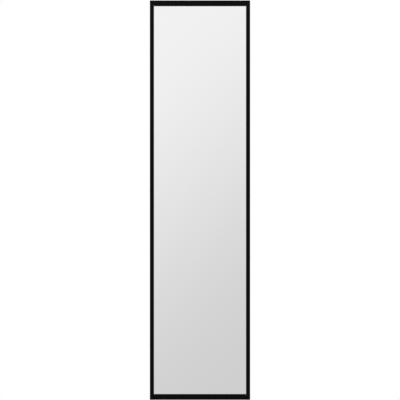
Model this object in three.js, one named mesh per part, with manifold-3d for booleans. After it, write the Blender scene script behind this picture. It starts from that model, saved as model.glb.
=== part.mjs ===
// Pull-out closet mirror
//
// A tall framed mirror stored flat along the side panel of a closet. It pulls
// forward on two telescopic ball slides and then swivels on an upright post.
//
// Millimetres. +Z is up, the mirror faces -Y when stored, and +X is the way it
// pulls out. The origin is the middle of the back face of the mounting strip,
// which lies flat on the closet side panel. Everything else stands in front of
// that panel, so depths are counted outwards from it, along -Y.

import * as THREE from 'three';
import { mergeVertices } from 'three/addons/utils/BufferGeometryUtils.js';
import Module from 'manifold-3d';

const wasm = await Module();
wasm.setup();

// Overall size of the framed mirror
const mirrorWidth = 306;
const mirrorHeight = 1219;

// Fits that all pieces share
const seatGap = 0.3;
const runningGap = 0.3;
const cutOverrun = 2;

// Frame section: full-height stiles, with rails between them
const stileFace = 12.5;
const railFace = 17.4;
const frameWall = 1.6;
const lipThickness = 2;
const grooveDepth = 6;
const edgeRadius = 0.8;

// Glass, its rubber setting blocks and the backing board
const glassThickness = 4;
const boardThickness = 6;
const settingBlockThickness = 1.4;
const settingBlockLength = 40;
const settingBlockPlaceShare = 0.3;

// End caps of the stiles
const capThickness = 1;
const capProngLength = 10;
const capProngThickness = 1.5;

// Corner screws, through the stiles into the screw ports of the rails
const cornerShankRadius = 1.5;
const cornerShankLength = 26;
const cornerHeadRadius = 3.3;
const cornerHeadHeight = 2.2;
const cornerAccessGap = 0.5;
const portBite = 0.6;

// Cross straps on the back of the frame, and their screws
const strapHeight = 46;
const strapThickness = 2;
const strapInset = 3;
const strapShankRadius = 1.7;
const strapHeadRadius = 3.4;
const strapHeadHeight = 1.8;

// Swivel: upright post, hinge blocks, bushes, washer, collar and stop pin
const pivotInset = 15;
const postRadius = 7;
const bushWall = 1.5;
const bushFlangeRadius = 12.5;
const bushFlangeThickness = 1.5;
const barrelWall = 4.9;
const blockHeight = 28;
const blockLevel = 340;
const blockBaseLength = 46;
const blockBaseThickness = 5;
const blockShankRadius = 2.2;
const blockHeadRadius = 4.2;
const blockHeadHeight = 3;
const blockScrewProtrusion = 1.2;
const blockScrewPlaceShares = [0.5, 0.82];
const washerThickness = 1.5;
const collarHeight = 10;
const grubRadius = 2.5;
const stopPinRadius = 2;
const stopPinReach = 11.3;
const swivelTravel = Math.PI / 2;

// Pivot brackets on the slides, their rivets and the bolts into the post
const bracketThickness = 2.5;
const bracketHeight = 36;
const bracketLength = 90;
const bracketBend = 1.5;
const lugRadius = 10;
const postStandOff = 2.2;
const rivetRadius = 2;
const rivetHeadRadius = 3.8;
const rivetHeadHeight = 1.4;
const rivetTailRadius = 3;
const rivetTailHeight = 1;
const rivetPlaceShares = [0.18, 0.55];
const boltRadius = 2.5;
const boltHeadRadius = 5;
const boltHeadHeight = 4;
const boltShankLength = 16;
const boltBoreSpare = 4;

// Telescopic slides, of three rolled members each
const slideSideInset = 3;
const slideHeight = 45;
const slideDepth = 12.7;
const slideSheet = 1.2;
const slideBend = 0.8;
const slideLevel = 400;
const outerMemberDepth = 9.6;
const cageSheet = 0.6;
const cageBend = 0.4;
const cageRearSpare = 2.7;
const cageFrontSpare = 5;
const ballRadius = 2;
const ballsInRow = 6;
const ballRowMargin = 6;
const bufferLength = 6;
const memberHoleRadius = 2.4;
const memberHolePlaceShares = [-0.4, -0.26, 0.26, 0.4];

// Magnetic catch that holds the mirror parallel to the slides
const catchWidth = 36;
const catchThickness = 2;
const catchRearInset = 4;
const catchSideMargin = 9;
const catchRadius = 9;
const catchBaseRadius = 12;
const catchBaseThickness = 2;
const catchStudRadius = 3;
const catchStudTail = 1.5;
const catchStudTailRadius = 3.9;
const magnetRadius = 6.5;
const magnetThickness = 3;

// Mounting strip that ties the two slides together on the side panel
const stripWidth = 100;
const stripOverhang = 7.5;
const stripThickness = 2;
const stripBend = 1.5;
const stripFlangeDepth = 9;
const stripFlangeEndGap = 6;
const stripCornerRadius = 6;
const wallHoleRadius = 2.75;
const wallHoleInset = 14;
const wallHoleLevelShares = [-0.4, 0, 0.4];

// Steps of the round outlines
const roundSteps = 24;
const smallRoundSteps = 12;
const hexSides = 6;
const cornerSteps = 3;
const bendSteps = 3;
const ballSteps = 6;
const ballRings = 4;

// Depths, worked outwards from the closet side panel
const slideBack = -stripThickness - seatGap;
const slideFront = slideBack - slideDepth;
const bracketBack = slideFront - seatGap;
const bracketFront = bracketBack - bracketThickness;
const pivotY = bracketFront - postStandOff - postRadius;
const bushInnerRadius = postRadius + runningGap;
const bushOuterRadius = bushInnerRadius + bushWall;
const barrelBoreRadius = bushOuterRadius + seatGap;
const barrelRadius = barrelBoreRadius + barrelWall;
const blockFront = pivotY - barrelRadius;
const strapBack = blockFront - seatGap;
const strapFront = strapBack - strapThickness;
const frameBack = strapFront - seatGap;
const boardBack = frameBack - lipThickness - seatGap;
const boardFront = boardBack - boardThickness;
const glassBack = boardFront - seatGap;
const glassFront = glassBack - glassThickness;
const frameFront = glassFront - seatGap - lipThickness;

// Widths and levels of the framed mirror
const halfWidth = mirrorWidth / 2;
const halfHeight = mirrorHeight / 2;
const pivotX = halfWidth - pivotInset;
const glassEdgeGap = settingBlockThickness + seatGap + seatGap;
const glassHalfWidth = halfWidth - stileFace + grooveDepth - glassEdgeGap;
const glassHalfHeight = halfHeight - railFace + grooveDepth - glassEdgeGap;
const lugLevel = slideLevel - bracketHeight / 2;
const strapScrewRise = (strapHeight + blockHeight) / 4;
const slideLength = mirrorWidth - 2 * slideSideInset;
const slideTravel = slideLength;
const slideHalf = slideLength / 2;
const slideRear = -slideHalf;
const movingRear = slideRear + bufferLength + seatGap;
const stripHeight = 2 * (slideLevel + slideHeight / 2 + stripOverhang);

// Materials
const blackCoat = new THREE.MeshStandardMaterial({ color: 0x101010, roughness: 0.55, metalness: 0.1 });
const silverGlass = new THREE.MeshStandardMaterial({ color: 0xe8ebec, roughness: 0.02, metalness: 1 });
const blackBoard = new THREE.MeshStandardMaterial({ color: 0x191918, roughness: 0.8, metalness: 0 });
const zincSteel = new THREE.MeshStandardMaterial({ color: 0xb4b8bb, roughness: 0.35, metalness: 1 });
const ballSteel = new THREE.MeshStandardMaterial({ color: 0xc9cccf, roughness: 0.2, metalness: 1 });
const postSteel = new THREE.MeshStandardMaterial({ color: 0xd4d6d8, roughness: 0.12, metalness: 1 });
const screwSteel = new THREE.MeshStandardMaterial({ color: 0x2b2b2b, roughness: 0.4, metalness: 0.9 });
const castAlloy = new THREE.MeshStandardMaterial({ color: 0x1a1a1a, roughness: 0.6, metalness: 0.3 });
const blackNylon = new THREE.MeshStandardMaterial({ color: 0x141414, roughness: 0.5, metalness: 0 });
const whiteNylon = new THREE.MeshStandardMaterial({ color: 0xe6e4dc, roughness: 0.45, metalness: 0 });
const blackRubber = new THREE.MeshStandardMaterial({ color: 0x161616, roughness: 0.85, metalness: 0 });
const magnetNickel = new THREE.MeshStandardMaterial({ color: 0xbfc0be, roughness: 0.25, metalness: 1 });

// Directions in which an outline is drawn out to a solid
const upwards = new THREE.Matrix4();
const forwards = new THREE.Matrix4().makeBasis(
  new THREE.Vector3(0, 1, 0),
  new THREE.Vector3(0, 0, 1),
  new THREE.Vector3(1, 0, 0),
);
const outwards = new THREE.Matrix4().makeBasis(
  new THREE.Vector3(1, 0, 0),
  new THREE.Vector3(0, 0, 1),
  new THREE.Vector3(0, -1, 0),
);

/** Turns pairs of numbers into the points of an outline. */
function points(pairs) {
  return pairs.map(([x, y]) => new THREE.Vector2(x, y));
}

/** Points along an arc, both ends included. */
function arc(x, y, radius, start, end, steps) {
  const list = [];
  for (let i = 0; i <= steps; i += 1) {
    const angle = start + (end - start) * (i / steps);
    list.push(new THREE.Vector2(x + radius * Math.cos(angle), y + radius * Math.sin(angle)));
  }
  return list;
}

/** Points round a circle, the first not repeated. */
function circle(x, y, radius, steps = smallRoundSteps) {
  const list = arc(x, y, radius, 0, 2 * Math.PI, steps);
  list.pop();
  return list;
}

/** Points of a rectangle with rounded corners. */
function roundedRectangle(left, right, bottom, top, radius) {
  const quarter = Math.PI / 2;
  return [
    ...arc(right - radius, bottom + radius, radius, -quarter, 0, cornerSteps),
    ...arc(right - radius, top - radius, radius, 0, quarter, cornerSteps),
    ...arc(left + radius, top - radius, radius, quarter, 2 * quarter, cornerSteps),
    ...arc(left + radius, bottom + radius, radius, 2 * quarter, 3 * quarter, cornerSteps),
  ];
}

/** The direction at a quarter turn to the left of another. */
function leftOf(direction) {
  return new THREE.Vector2(-direction.y, direction.x);
}

/** Outline of a folded sheet, from the path along its middle and the inner radius of each bend. */
function foldedSheet(path, sheet, bends) {
  const corners = points(path);
  const last = corners.length - 1;
  const left = [];
  const right = [];
  const addPair = (middle, across) => {
    left.push(middle.clone().addScaledVector(across, sheet / 2));
    right.push(middle.clone().addScaledVector(across, -sheet / 2));
  };
  const legs = corners.slice(1).map((corner, i) => corner.clone().sub(corners[i]).normalize());
  addPair(corners[0], leftOf(legs[0]));
  for (let i = 1; i < last; i += 1) {
    const before = legs[i - 1];
    const after = legs[i];
    const turn = Math.atan2(before.cross(after), before.dot(after));
    const radius = Math.sign(turn) * (bends[i - 1] + sheet / 2);
    const start = corners[i].clone().addScaledVector(before, -radius * Math.tan(turn / 2));
    const centre = start.clone().addScaledVector(leftOf(before), radius);
    for (let step = 0; step <= bendSteps; step += 1) {
      const across = leftOf(before).rotateAround(new THREE.Vector2(), turn * (step / bendSteps));
      addPair(centre.clone().addScaledVector(across, -radius), across);
    }
  }
  addPair(corners[last], leftOf(legs[last - 1]));
  return [...left, ...right.reverse()];
}

/** Draws an outline, with its holes, out to a solid from one level to another. */
function drawOut(direction, outline, holes, from, to) {
  const shape = new THREE.Shape(outline);
  shape.holes = holes.map((hole) => new THREE.Path(hole));
  const geometry = new THREE.ExtrudeGeometry(shape, { depth: to - from, bevelEnabled: false });
  geometry.translate(0, 0, from);
  geometry.applyMatrix4(direction);
  return geometry;
}

/** A box between two corners. */
function block(x0, x1, y0, y1, z0, z1) {
  const geometry = new THREE.BoxGeometry(x1 - x0, y1 - y0, z1 - z0);
  geometry.translate((x0 + x1) / 2, (y0 + y1) / 2, (z0 + z1) / 2);
  return geometry;
}

/** A turned piece about the Z axis, from the radius and height of each profile point. */
function turned(profile, steps = roundSteps) {
  const geometry = new THREE.LatheGeometry(points(profile), steps);
  geometry.rotateX(Math.PI / 2);
  return geometry;
}

/** A closed geometry as a solid that can be cut and joined. */
function solid(geometry) {
  const bare = geometry.clone();
  bare.deleteAttribute('normal');
  bare.deleteAttribute('uv');
  const welded = mergeVertices(bare);
  return new wasm.Manifold(new wasm.Mesh({
    numProp: 3,
    vertProperties: new Float32Array(welded.attributes.position.array),
    triVerts: new Uint32Array(welded.index.array),
  }));
}

/** A cut or joined solid as a geometry again. */
function geometryOf(body) {
  const mesh = body.getMesh();
  const geometry = new THREE.BufferGeometry();
  geometry.setAttribute('position', new THREE.BufferAttribute(mesh.vertProperties, 3));
  geometry.setIndex(new THREE.BufferAttribute(mesh.triVerts, 1));
  geometry.computeVertexNormals();
  return geometry;
}

/** Cuts the tools away from a geometry. */
function cut(geometry, tools) {
  let body = solid(geometry);
  for (const tool of tools) {
    body = body.subtract(solid(tool));
  }
  return geometryOf(body);
}

/** Joins other geometries to one. */
function join(geometry, others) {
  let body = solid(geometry);
  for (const other of others) {
    body = body.add(solid(other));
  }
  return geometryOf(body);
}

/** A round cutter or rod along X, between two places given in either order. */
function rodAlongX(y, z, radius, from, to) {
  return drawOut(forwards, circle(y, z, radius), [], Math.min(from, to), Math.max(from, to));
}

/** A round cutter or rod along Y, between two depths. */
function rodAlongY(x, z, radius, front, back) {
  return drawOut(outwards, circle(x, z, radius), [], -back, -front);
}

const pullOutMirror = new THREE.Group();
const fixedSide = new THREE.Group();
const carriage = new THREE.Group();
const mirrorPanel = new THREE.Group();
pullOutMirror.add(fixedSide, carriage, mirrorPanel);

/** Adds one named piece to an assembly. */
function addPiece(assembly, name, geometry, material) {
  const piece = new THREE.Mesh(geometry, material);
  piece.name = name;
  assembly.add(piece);
  return piece;
}

// Mounting strip, its long edges folded outwards between the two slides

function makeMountingStrip() {
  const side = stripWidth / 2;
  const top = stripHeight / 2;
  const plateSide = side - stripBend - stripThickness;
  const flangeEnd = slideLevel - slideHeight / 2 - stripFlangeEndGap;
  const middle = stripThickness / 2;
  const plate = drawOut(
    outwards, roundedRectangle(-plateSide, plateSide, -top, top, stripCornerRadius), [], 0, stripThickness);
  const section = foldedSheet([
    [-side + middle, -stripFlangeDepth],
    [-side + middle, -middle],
    [side - middle, -middle],
    [side - middle, -stripFlangeDepth],
  ], stripThickness, [stripBend, stripBend]);
  const folded = drawOut(upwards, section, [], -flangeEnd, flangeEnd);
  const holes = [];
  for (const share of wallHoleLevelShares) {
    for (const x of [-side + wallHoleInset, side - wallHoleInset]) {
      holes.push(rodAlongY(x, share * stripHeight, wallHoleRadius, -stripThickness - cutOverrun, cutOverrun));
    }
  }
  addPiece(fixedSide, 'mounting_strip', cut(join(plate, [folded]), holes), zincSteel);
}

// Telescopic slides
// Depths inside a slide are counted outwards from its own back face. The middle
// member runs half as far as the inner one, and each ball cage half as far as
// the member that it carries, so a cage fits in the overlap that is left when
// the slide is fully out.

const cageStart = movingRear + slideTravel / 4 + cageRearSpare;
const cageLength = slideTravel / 2 + slideRear - movingRear - cageRearSpare - cageFrontSpare;

const outerInside = slideHeight / 2 - slideSheet;
const outerBallLevel = outerInside - runningGap - ballRadius;
const outerBallDepth = outerMemberDepth - slideSheet - runningGap - ballRadius;
const outerCageDepth = slideSheet + runningGap;
const middleHalfHeight = outerBallLevel - ballRadius - runningGap;
const middleInside = middleHalfHeight - slideSheet;
const middleBack = outerCageDepth + cageSheet + runningGap;
const innerCageDepth = middleBack + slideSheet + runningGap;
const innerBack = innerCageDepth + cageSheet + runningGap;
const innerBallDepth = innerBack + slideSheet + runningGap + ballRadius;
const innerBallLevel = middleInside - runningGap - ballRadius;
const middleFront = innerBallDepth + ballRadius + runningGap + slideSheet;
const innerHalfHeight = innerBallLevel - ballRadius - runningGap;
const innerLipReach = innerBallLevel - cageSheet / 2 - runningGap;

// Each lip is rolled round its balls, to a groove that keeps their clearance. The
// lips of the inner member end under its cage, so their groove is tighter.
const grooveRadius = ballRadius + runningGap;
const innerGrooveRadius = ballRadius - cageSheet / 2 - runningGap;

/** Section of a member: the depths of its web and lips, the reaches of its flanges and lips, its groove. */
function memberSection(level, webDepth, lipDepth, flangeReach, lipReach, groove) {
  const web = slideBack - webDepth;
  const lip = slideBack - lipDepth;
  const flange = flangeReach - slideSheet / 2;
  return foldedSheet([
    [lip, level + lipReach],
    [lip, level + flange],
    [web, level + flange],
    [web, level - flange],
    [lip, level - flange],
    [lip, level - lipReach],
  ], slideSheet, [groove, slideBend, slideBend, groove]);
}

/** Round cutters through the web of a slide member. */
function webHoles(level, places, radius) {
  const nearFace = -slideBack - cutOverrun;
  const farFace = -slideFront + cutOverrun;
  return places.map((x) => drawOut(outwards, circle(x, level, radius), [], nearFace, farFace));
}

/** Balls held in a thin channel-shaped cage, one row above and one below. */
function makeCage(name, level, back, ballDepth, ballLevel) {
  const web = slideBack - back - cageSheet / 2;
  const edge = slideBack - ballDepth - ballRadius / 2;
  const section = foldedSheet([
    [edge, level + ballLevel],
    [web, level + ballLevel],
    [web, level - ballLevel],
    [edge, level - ballLevel],
  ], cageSheet, [cageBend, cageBend]);
  const strip = drawOut(forwards, section, [], cageStart, cageStart + cageLength);
  const balls = [];
  const pitch = (cageLength - 2 * ballRowMargin) / (ballsInRow - 1);
  for (const row of [-1, 1]) {
    for (let i = 0; i < ballsInRow; i += 1) {
      const ball = new THREE.SphereGeometry(ballRadius, ballSteps, ballRings);
      ball.translate(cageStart + ballRowMargin + i * pitch, slideBack - ballDepth, level + row * ballLevel);
      balls.push(ball);
    }
  }
  addPiece(fixedSide, name, join(strip, balls), ballSteel);
}

/** One slide: outer, middle and inner member, two ball cages and the rear buffer. */
function makeSlide(which, level) {
  const sheetMiddle = slideSheet / 2;
  const webPlaces = memberHolePlaceShares.map((share) => share * slideLength);
  const memberHoles = webHoles(level, webPlaces, memberHoleRadius);
  const outerReach = outerBallLevel - ballRadius / 2;
  const outerSection = memberSection(
    level, sheetMiddle, outerMemberDepth - sheetMiddle, slideHeight / 2, outerReach, grooveRadius);
  const outer = drawOut(forwards, outerSection, [], slideRear, slideHalf);
  addPiece(fixedSide, `outer_member_${which}`, cut(outer, memberHoles), zincSteel);

  const bufferNear = slideBack - slideSheet - seatGap;
  const bufferFar = slideBack - outerMemberDepth + slideSheet + seatGap;
  const bufferTop = outerInside - seatGap;
  const bufferOutline = roundedRectangle(
    bufferFar, bufferNear, level - bufferTop, level + bufferTop, grooveRadius - seatGap);
  const rubber = drawOut(forwards, bufferOutline, [], slideRear, slideRear + bufferLength);
  addPiece(fixedSide, `slide_buffer_${which}`, rubber, blackRubber);

  const middleReach = innerBallLevel - ballRadius / 2;
  const middleSection = memberSection(
    level, middleBack + sheetMiddle, middleFront - sheetMiddle, middleHalfHeight, middleReach, grooveRadius);
  const middle = drawOut(forwards, middleSection, [], movingRear, slideHalf);
  addPiece(carriage, `middle_member_${which}`, cut(middle, memberHoles), zincSteel);

  const innerSection = memberSection(
    level, slideDepth - sheetMiddle, innerBack + sheetMiddle, innerHalfHeight, innerLipReach,
    innerGrooveRadius);
  const inner = drawOut(forwards, innerSection, [], movingRear, slideHalf);
  const rivetPlaces = bracketRivetPlaces();
  if (level > 0) {
    rivetPlaces.push(catchRivetPlace);
  }
  const innerCut = cut(inner, webHoles(level, rivetPlaces, rivetRadius + seatGap));
  addPiece(carriage, `inner_member_${which}`, innerCut, zincSteel);

  makeCage(`outer_ball_cage_${which}`, level, outerCageDepth, outerBallDepth, outerBallLevel);
  makeCage(`inner_ball_cage_${which}`, level, innerCageDepth, innerBallDepth, innerBallLevel);
}

// Pivot brackets, rivets and post bolts

const bracketRight = pivotX + lugRadius;
const bracketLeft = bracketRight - bracketLength;

/** Places of the rivets that hold a pivot bracket to its slide. */
function bracketRivetPlaces() {
  return rivetPlaceShares.map((share) => bracketLeft + share * bracketLength);
}

/** A rivet through a plate and the web of an inner member, its head outwards. */
function makeRivet(name, x, level, plateThickness) {
  const plateFace = bracketBack - plateThickness;
  const webInside = slideFront + slideSheet;
  const shankLength = webInside + seatGap - plateFace + seatGap;
  const crown = rivetHeadHeight / 2;
  const rivet = turned([
    [0, 0],
    [rivetTailRadius, 0],
    [rivetTailRadius, rivetTailHeight],
    [rivetRadius, rivetTailHeight],
    [rivetRadius, rivetTailHeight + shankLength],
    [rivetHeadRadius, rivetTailHeight + shankLength],
    [rivetHeadRadius - crown, rivetTailHeight + shankLength + crown],
    [0, rivetTailHeight + shankLength + rivetHeadHeight],
  ], smallRoundSteps);
  const piece = addPiece(carriage, name, rivet, zincSteel);
  piece.rotation.x = Math.PI / 2;
  piece.position.set(x, webInside + seatGap + rivetTailHeight, level);
}

/** A folded bracket: a leg flat on the slide, and a lug that carries a post end. */
function makePivotBracket(which, side) {
  const level = side * slideLevel;
  const half = bracketHeight / 2;
  const sheetMiddle = bracketThickness / 2;
  const foldDepth = bracketThickness + bracketBend;
  const legTip = level + side * half;
  const legFoot = side * (lugLevel + foldDepth);
  const rivetHoles = bracketRivetPlaces().map((x) => circle(x, level, rivetRadius + seatGap));
  const legOutline = roundedRectangle(
    bracketLeft, bracketRight, Math.min(legTip, legFoot), Math.max(legTip, legFoot), edgeRadius);
  const leg = drawOut(outwards, legOutline, rivetHoles, -bracketBack, -bracketFront);
  const lugSection = foldedSheet([
    [bracketBack - sheetMiddle, level],
    [bracketBack - sheetMiddle, side * (lugLevel + sheetMiddle)],
    [pivotY, side * (lugLevel + sheetMiddle)],
  ], bracketThickness, [bracketBend]);
  const fold = drawOut(forwards, lugSection, [], pivotX - lugRadius, pivotX + lugRadius);
  const lugBottom = side > 0 ? lugLevel : -lugLevel - bracketThickness;
  const lugTop = lugBottom + bracketThickness;
  const lugEnd = drawOut(upwards, circle(pivotX, pivotY, lugRadius, roundSteps), [], lugBottom, lugTop);
  const boltHole = drawOut(
    upwards, circle(pivotX, pivotY, boltRadius + seatGap), [], lugBottom - cutOverrun, lugTop + cutOverrun);
  addPiece(carriage, `pivot_bracket_${which}`, cut(join(leg, [fold, lugEnd]), [boltHole]), blackCoat);
  bracketRivetPlaces().forEach((x, i) => {
    makeRivet(`bracket_rivet_${which}_${i + 1}`, x, level, bracketThickness);
  });

  const shank = turned([
    [0, -boltShankLength],
    [boltRadius, -boltShankLength],
    [boltRadius, boltHeadHeight / 2],
    [0, boltHeadHeight / 2],
  ], smallRoundSteps);
  const head = drawOut(upwards, circle(0, 0, boltHeadRadius, hexSides), [], 0, boltHeadHeight);
  const bolt = addPiece(carriage, `post_bolt_${which}`, join(shank, [head]), screwSteel);
  bolt.rotation.x = side > 0 ? 0 : Math.PI;
  bolt.position.set(pivotX, pivotY, side * (lugLevel + bracketThickness + seatGap));
}

// Upright post with its collar, washer and stop pin

const upperBlockTop = blockLevel + blockHeight / 2;
const lowerBlockBottom = -blockLevel - blockHeight / 2;
const recessDepth = 2 * stopPinRadius + 2 * runningGap;
const recessRadius = stopPinReach + runningGap;
const stopPinLevel = upperBlockTop - recessDepth / 2;
const washerTop = lowerBlockBottom - seatGap - bushFlangeThickness - runningGap;
const collarTop = washerTop - washerThickness - runningGap;
const collarMiddle = collarTop - collarHeight / 2;

function makePost() {
  const end = lugLevel - seatGap;
  const post = drawOut(upwards, circle(pivotX, pivotY, postRadius, roundSteps), [], -end, end);
  const boreDepth = boltShankLength - bracketThickness + boltBoreSpare;
  const bore = circle(pivotX, pivotY, boltRadius + seatGap);
  const topBore = drawOut(upwards, bore, [], end - boreDepth, end + cutOverrun);
  const bottomBore = drawOut(upwards, bore, [], -end - cutOverrun, -end + boreDepth);
  const pinHole = drawOut(
    outwards,
    circle(pivotX, stopPinLevel, stopPinRadius + seatGap),
    [],
    -pivotY - postRadius - cutOverrun,
    -pivotY + postRadius + cutOverrun,
  );
  addPiece(carriage, 'pivot_post', cut(post, [topBore, bottomBore, pinHole]), postSteel);

  const pinStart = postRadius - seatGap;
  const pin = drawOut(
    outwards, circle(pivotX, stopPinLevel, stopPinRadius), [], -pivotY - stopPinReach, -pivotY + pinStart);
  addPiece(carriage, 'swivel_stop_pin', pin, screwSteel);

  const eye = circle(pivotX, pivotY, postRadius + runningGap, roundSteps);
  const rim = circle(pivotX, pivotY, bushFlangeRadius, roundSteps);
  const washer = drawOut(upwards, rim, [eye], washerTop - washerThickness, washerTop);
  addPiece(carriage, 'thrust_washer', washer, postSteel);

  const collar = drawOut(upwards, rim, [eye], collarTop - collarHeight, collarTop);
  const grubHole = drawOut(
    outwards,
    circle(pivotX, collarMiddle, grubRadius + seatGap),
    [],
    -pivotY - bushFlangeRadius - cutOverrun,
    -pivotY,
  );
  addPiece(carriage, 'post_collar', cut(collar, [grubHole]), castAlloy);
  const grub = drawOut(
    outwards,
    circle(pivotX, collarMiddle, grubRadius),
    [],
    -pivotY - bushFlangeRadius,
    -pivotY - postRadius - seatGap,
  );
  addPiece(carriage, 'collar_grub_screw', grub, screwSteel);
}

// Magnetic catch at the rear of the upper slide

const catchLeft = movingRear + catchRearInset;
const catchCentre = catchLeft + catchWidth / 2;
const catchFront = bracketBack - catchThickness;
const catchRivetPlace = catchLeft + catchSideMargin;

function makeCatch() {
  const top = slideLevel + bracketHeight / 2;
  const bottom = blockLevel - catchBaseRadius - edgeRadius;
  const outline = roundedRectangle(catchLeft, catchLeft + catchWidth, bottom, top, edgeRadius);
  const holes = [
    circle(catchRivetPlace, slideLevel, rivetRadius + seatGap),
    circle(catchCentre, blockLevel, catchStudRadius + seatGap),
  ];
  addPiece(carriage, 'catch_plate', drawOut(outwards, outline, holes, -bracketBack, -catchFront), blackCoat);
  makeRivet('catch_rivet', catchRivetPlace, slideLevel, catchThickness);

  const base = catchFront - seatGap;
  const reach = base - strapBack - seatGap;
  const plateHole = seatGap + catchThickness + seatGap;
  const pocket = magnetThickness + seatGap;
  const body = turned([
    [0, -plateHole - catchStudTail],
    [catchStudRadius, -plateHole - catchStudTail],
    [catchStudTailRadius, -plateHole],
    [catchStudRadius, -plateHole],
    [catchStudRadius, 0],
    [catchBaseRadius, 0],
    [catchBaseRadius, catchBaseThickness],
    [catchRadius, catchBaseThickness],
    [catchRadius, reach],
    [magnetRadius + seatGap, reach],
    [magnetRadius + seatGap, reach - pocket],
    [0, reach - pocket],
  ]);
  const holder = addPiece(carriage, 'catch_holder', body, blackNylon);
  holder.rotation.x = Math.PI / 2;
  holder.position.set(catchCentre, base, blockLevel);
  const disc = drawOut(
    outwards,
    circle(catchCentre, blockLevel, magnetRadius, roundSteps),
    [],
    -base + reach - magnetThickness,
    -base + reach,
  );
  addPiece(carriage, 'catch_magnet', disc, magnetNickel);
}

// Frame of the mirror
// Frame sections are drawn inwards from the outer edge and back from the front face.

/** Section of a frame member, front corners rounded; inward is +1 or -1 along its axis. */
function frameOutline(edge, inward, face) {
  const quarter = Math.PI / 2;
  const corner = inward > 0
    ? arc(edge + edgeRadius, frameFront + edgeRadius, edgeRadius, 2 * quarter, 3 * quarter, cornerSteps)
    : arc(edge - edgeRadius, frameFront + edgeRadius, edgeRadius, 0, -quarter, cornerSteps);
  const lip = edge + inward * face;
  const floor = edge + inward * (face - grooveDepth);
  return [
    ...corner,
    ...points([
      [lip, frameFront],
      [lip, frameFront + lipThickness],
      [floor, frameFront + lipThickness],
      [floor, frameBack - lipThickness],
      [lip, frameBack - lipThickness],
      [lip, frameBack],
      [edge, frameBack],
    ]),
  ];
}

/** Hollow of a frame member, between its outer wall and the floor of its groove. */
function frameHollow(edge, inward, face) {
  const outer = edge + inward * frameWall;
  const inner = edge + inward * (face - grooveDepth - frameWall);
  return points([
    [outer, frameFront + lipThickness],
    [inner, frameFront + lipThickness],
    [inner, frameBack - lipThickness],
    [outer, frameBack - lipThickness],
  ]);
}

const frameMiddle = (frameFront + frameBack) / 2;
const portLevel = halfHeight - (railFace - grooveDepth) / 2;
const stileEnd = halfHeight - capThickness - seatGap;

/** One stile with its corner screws, end caps and the holes for the strap screws. */
function makeStile(which, side) {
  const edge = side * halfWidth;
  const inward = -side;
  const bar = drawOut(upwards, frameOutline(edge, inward, stileFace), [], -stileEnd, stileEnd);
  const hollow = frameHollow(edge, inward, stileFace);
  const tools = [drawOut(upwards, hollow, [], -stileEnd - cutOverrun, stileEnd + cutOverrun)];
  const seat = edge + inward * (stileFace - grooveDepth - frameWall);
  const outside = edge - inward * cutOverrun;
  const insideHollow = edge + inward * (frameWall + seatGap);
  const insideGroove = edge + inward * stileFace;
  for (const level of [-portLevel, portLevel]) {
    tools.push(rodAlongX(frameMiddle, level, cornerHeadRadius + cornerAccessGap, outside, insideHollow));
    tools.push(rodAlongX(frameMiddle, level, cornerShankRadius + seatGap, outside, insideGroove));
  }
  const screwX = edge + inward * (stileFace - grooveDepth / 2);
  for (const level of [strapScrewRise - blockLevel, strapScrewRise + blockLevel]) {
    tools.push(rodAlongY(
      screwX, level, strapShankRadius + seatGap, frameBack - lipThickness - seatGap, frameBack + cutOverrun));
  }
  addPiece(mirrorPanel, `stile_${which}`, cut(bar, tools), blackCoat);

  for (const end of [-1, 1]) {
    const name = end > 0 ? 'top' : 'bottom';
    makeCap(`stile_cap_${which}_${name}`, edge, inward, end);
    const screw = turned([
      [0, -cornerShankLength],
      [cornerShankRadius, -cornerShankLength + cornerShankRadius],
      [cornerShankRadius, 0],
      [cornerHeadRadius, 0],
      [cornerHeadRadius, cornerHeadHeight / 2],
      [cornerHeadRadius - cornerHeadHeight / 2, cornerHeadHeight],
      [0, cornerHeadHeight],
    ], smallRoundSteps);
    const piece = addPiece(mirrorPanel, `corner_screw_${which}_${name}`, screw, screwSteel);
    piece.rotation.y = side * Math.PI / 2;
    piece.position.set(seat - inward * seatGap, frameMiddle, end * portLevel);
  }
}

/** An end cap: a thin cover with two prongs that spring into the hollow of the stile. */
function makeCap(name, edge, inward, end) {
  const outer = end * halfHeight;
  const inner = end * (halfHeight - capThickness);
  const cover = drawOut(
    upwards, frameOutline(edge, inward, stileFace), [], Math.min(outer, inner), Math.max(outer, inner));
  const hollowOuter = edge + inward * (frameWall + seatGap);
  const hollowInner = edge + inward * (stileFace - grooveDepth - frameWall - seatGap);
  const left = Math.min(hollowOuter, hollowInner);
  const right = Math.max(hollowOuter, hollowInner);
  const tip = end * (halfHeight - capThickness - capProngLength);
  const low = Math.min(tip, outer - end * capThickness / 2);
  const high = Math.max(tip, outer - end * capThickness / 2);
  const prongFront = frameFront + lipThickness + seatGap;
  const prongBack = frameBack - lipThickness - seatGap;
  const prongs = [
    block(left, right, prongFront, prongFront + capProngThickness, low, high),
    block(left, right, prongBack - capProngThickness, prongBack, low, high),
  ];
  addPiece(mirrorPanel, name, join(cover, prongs), blackNylon);
}

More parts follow.
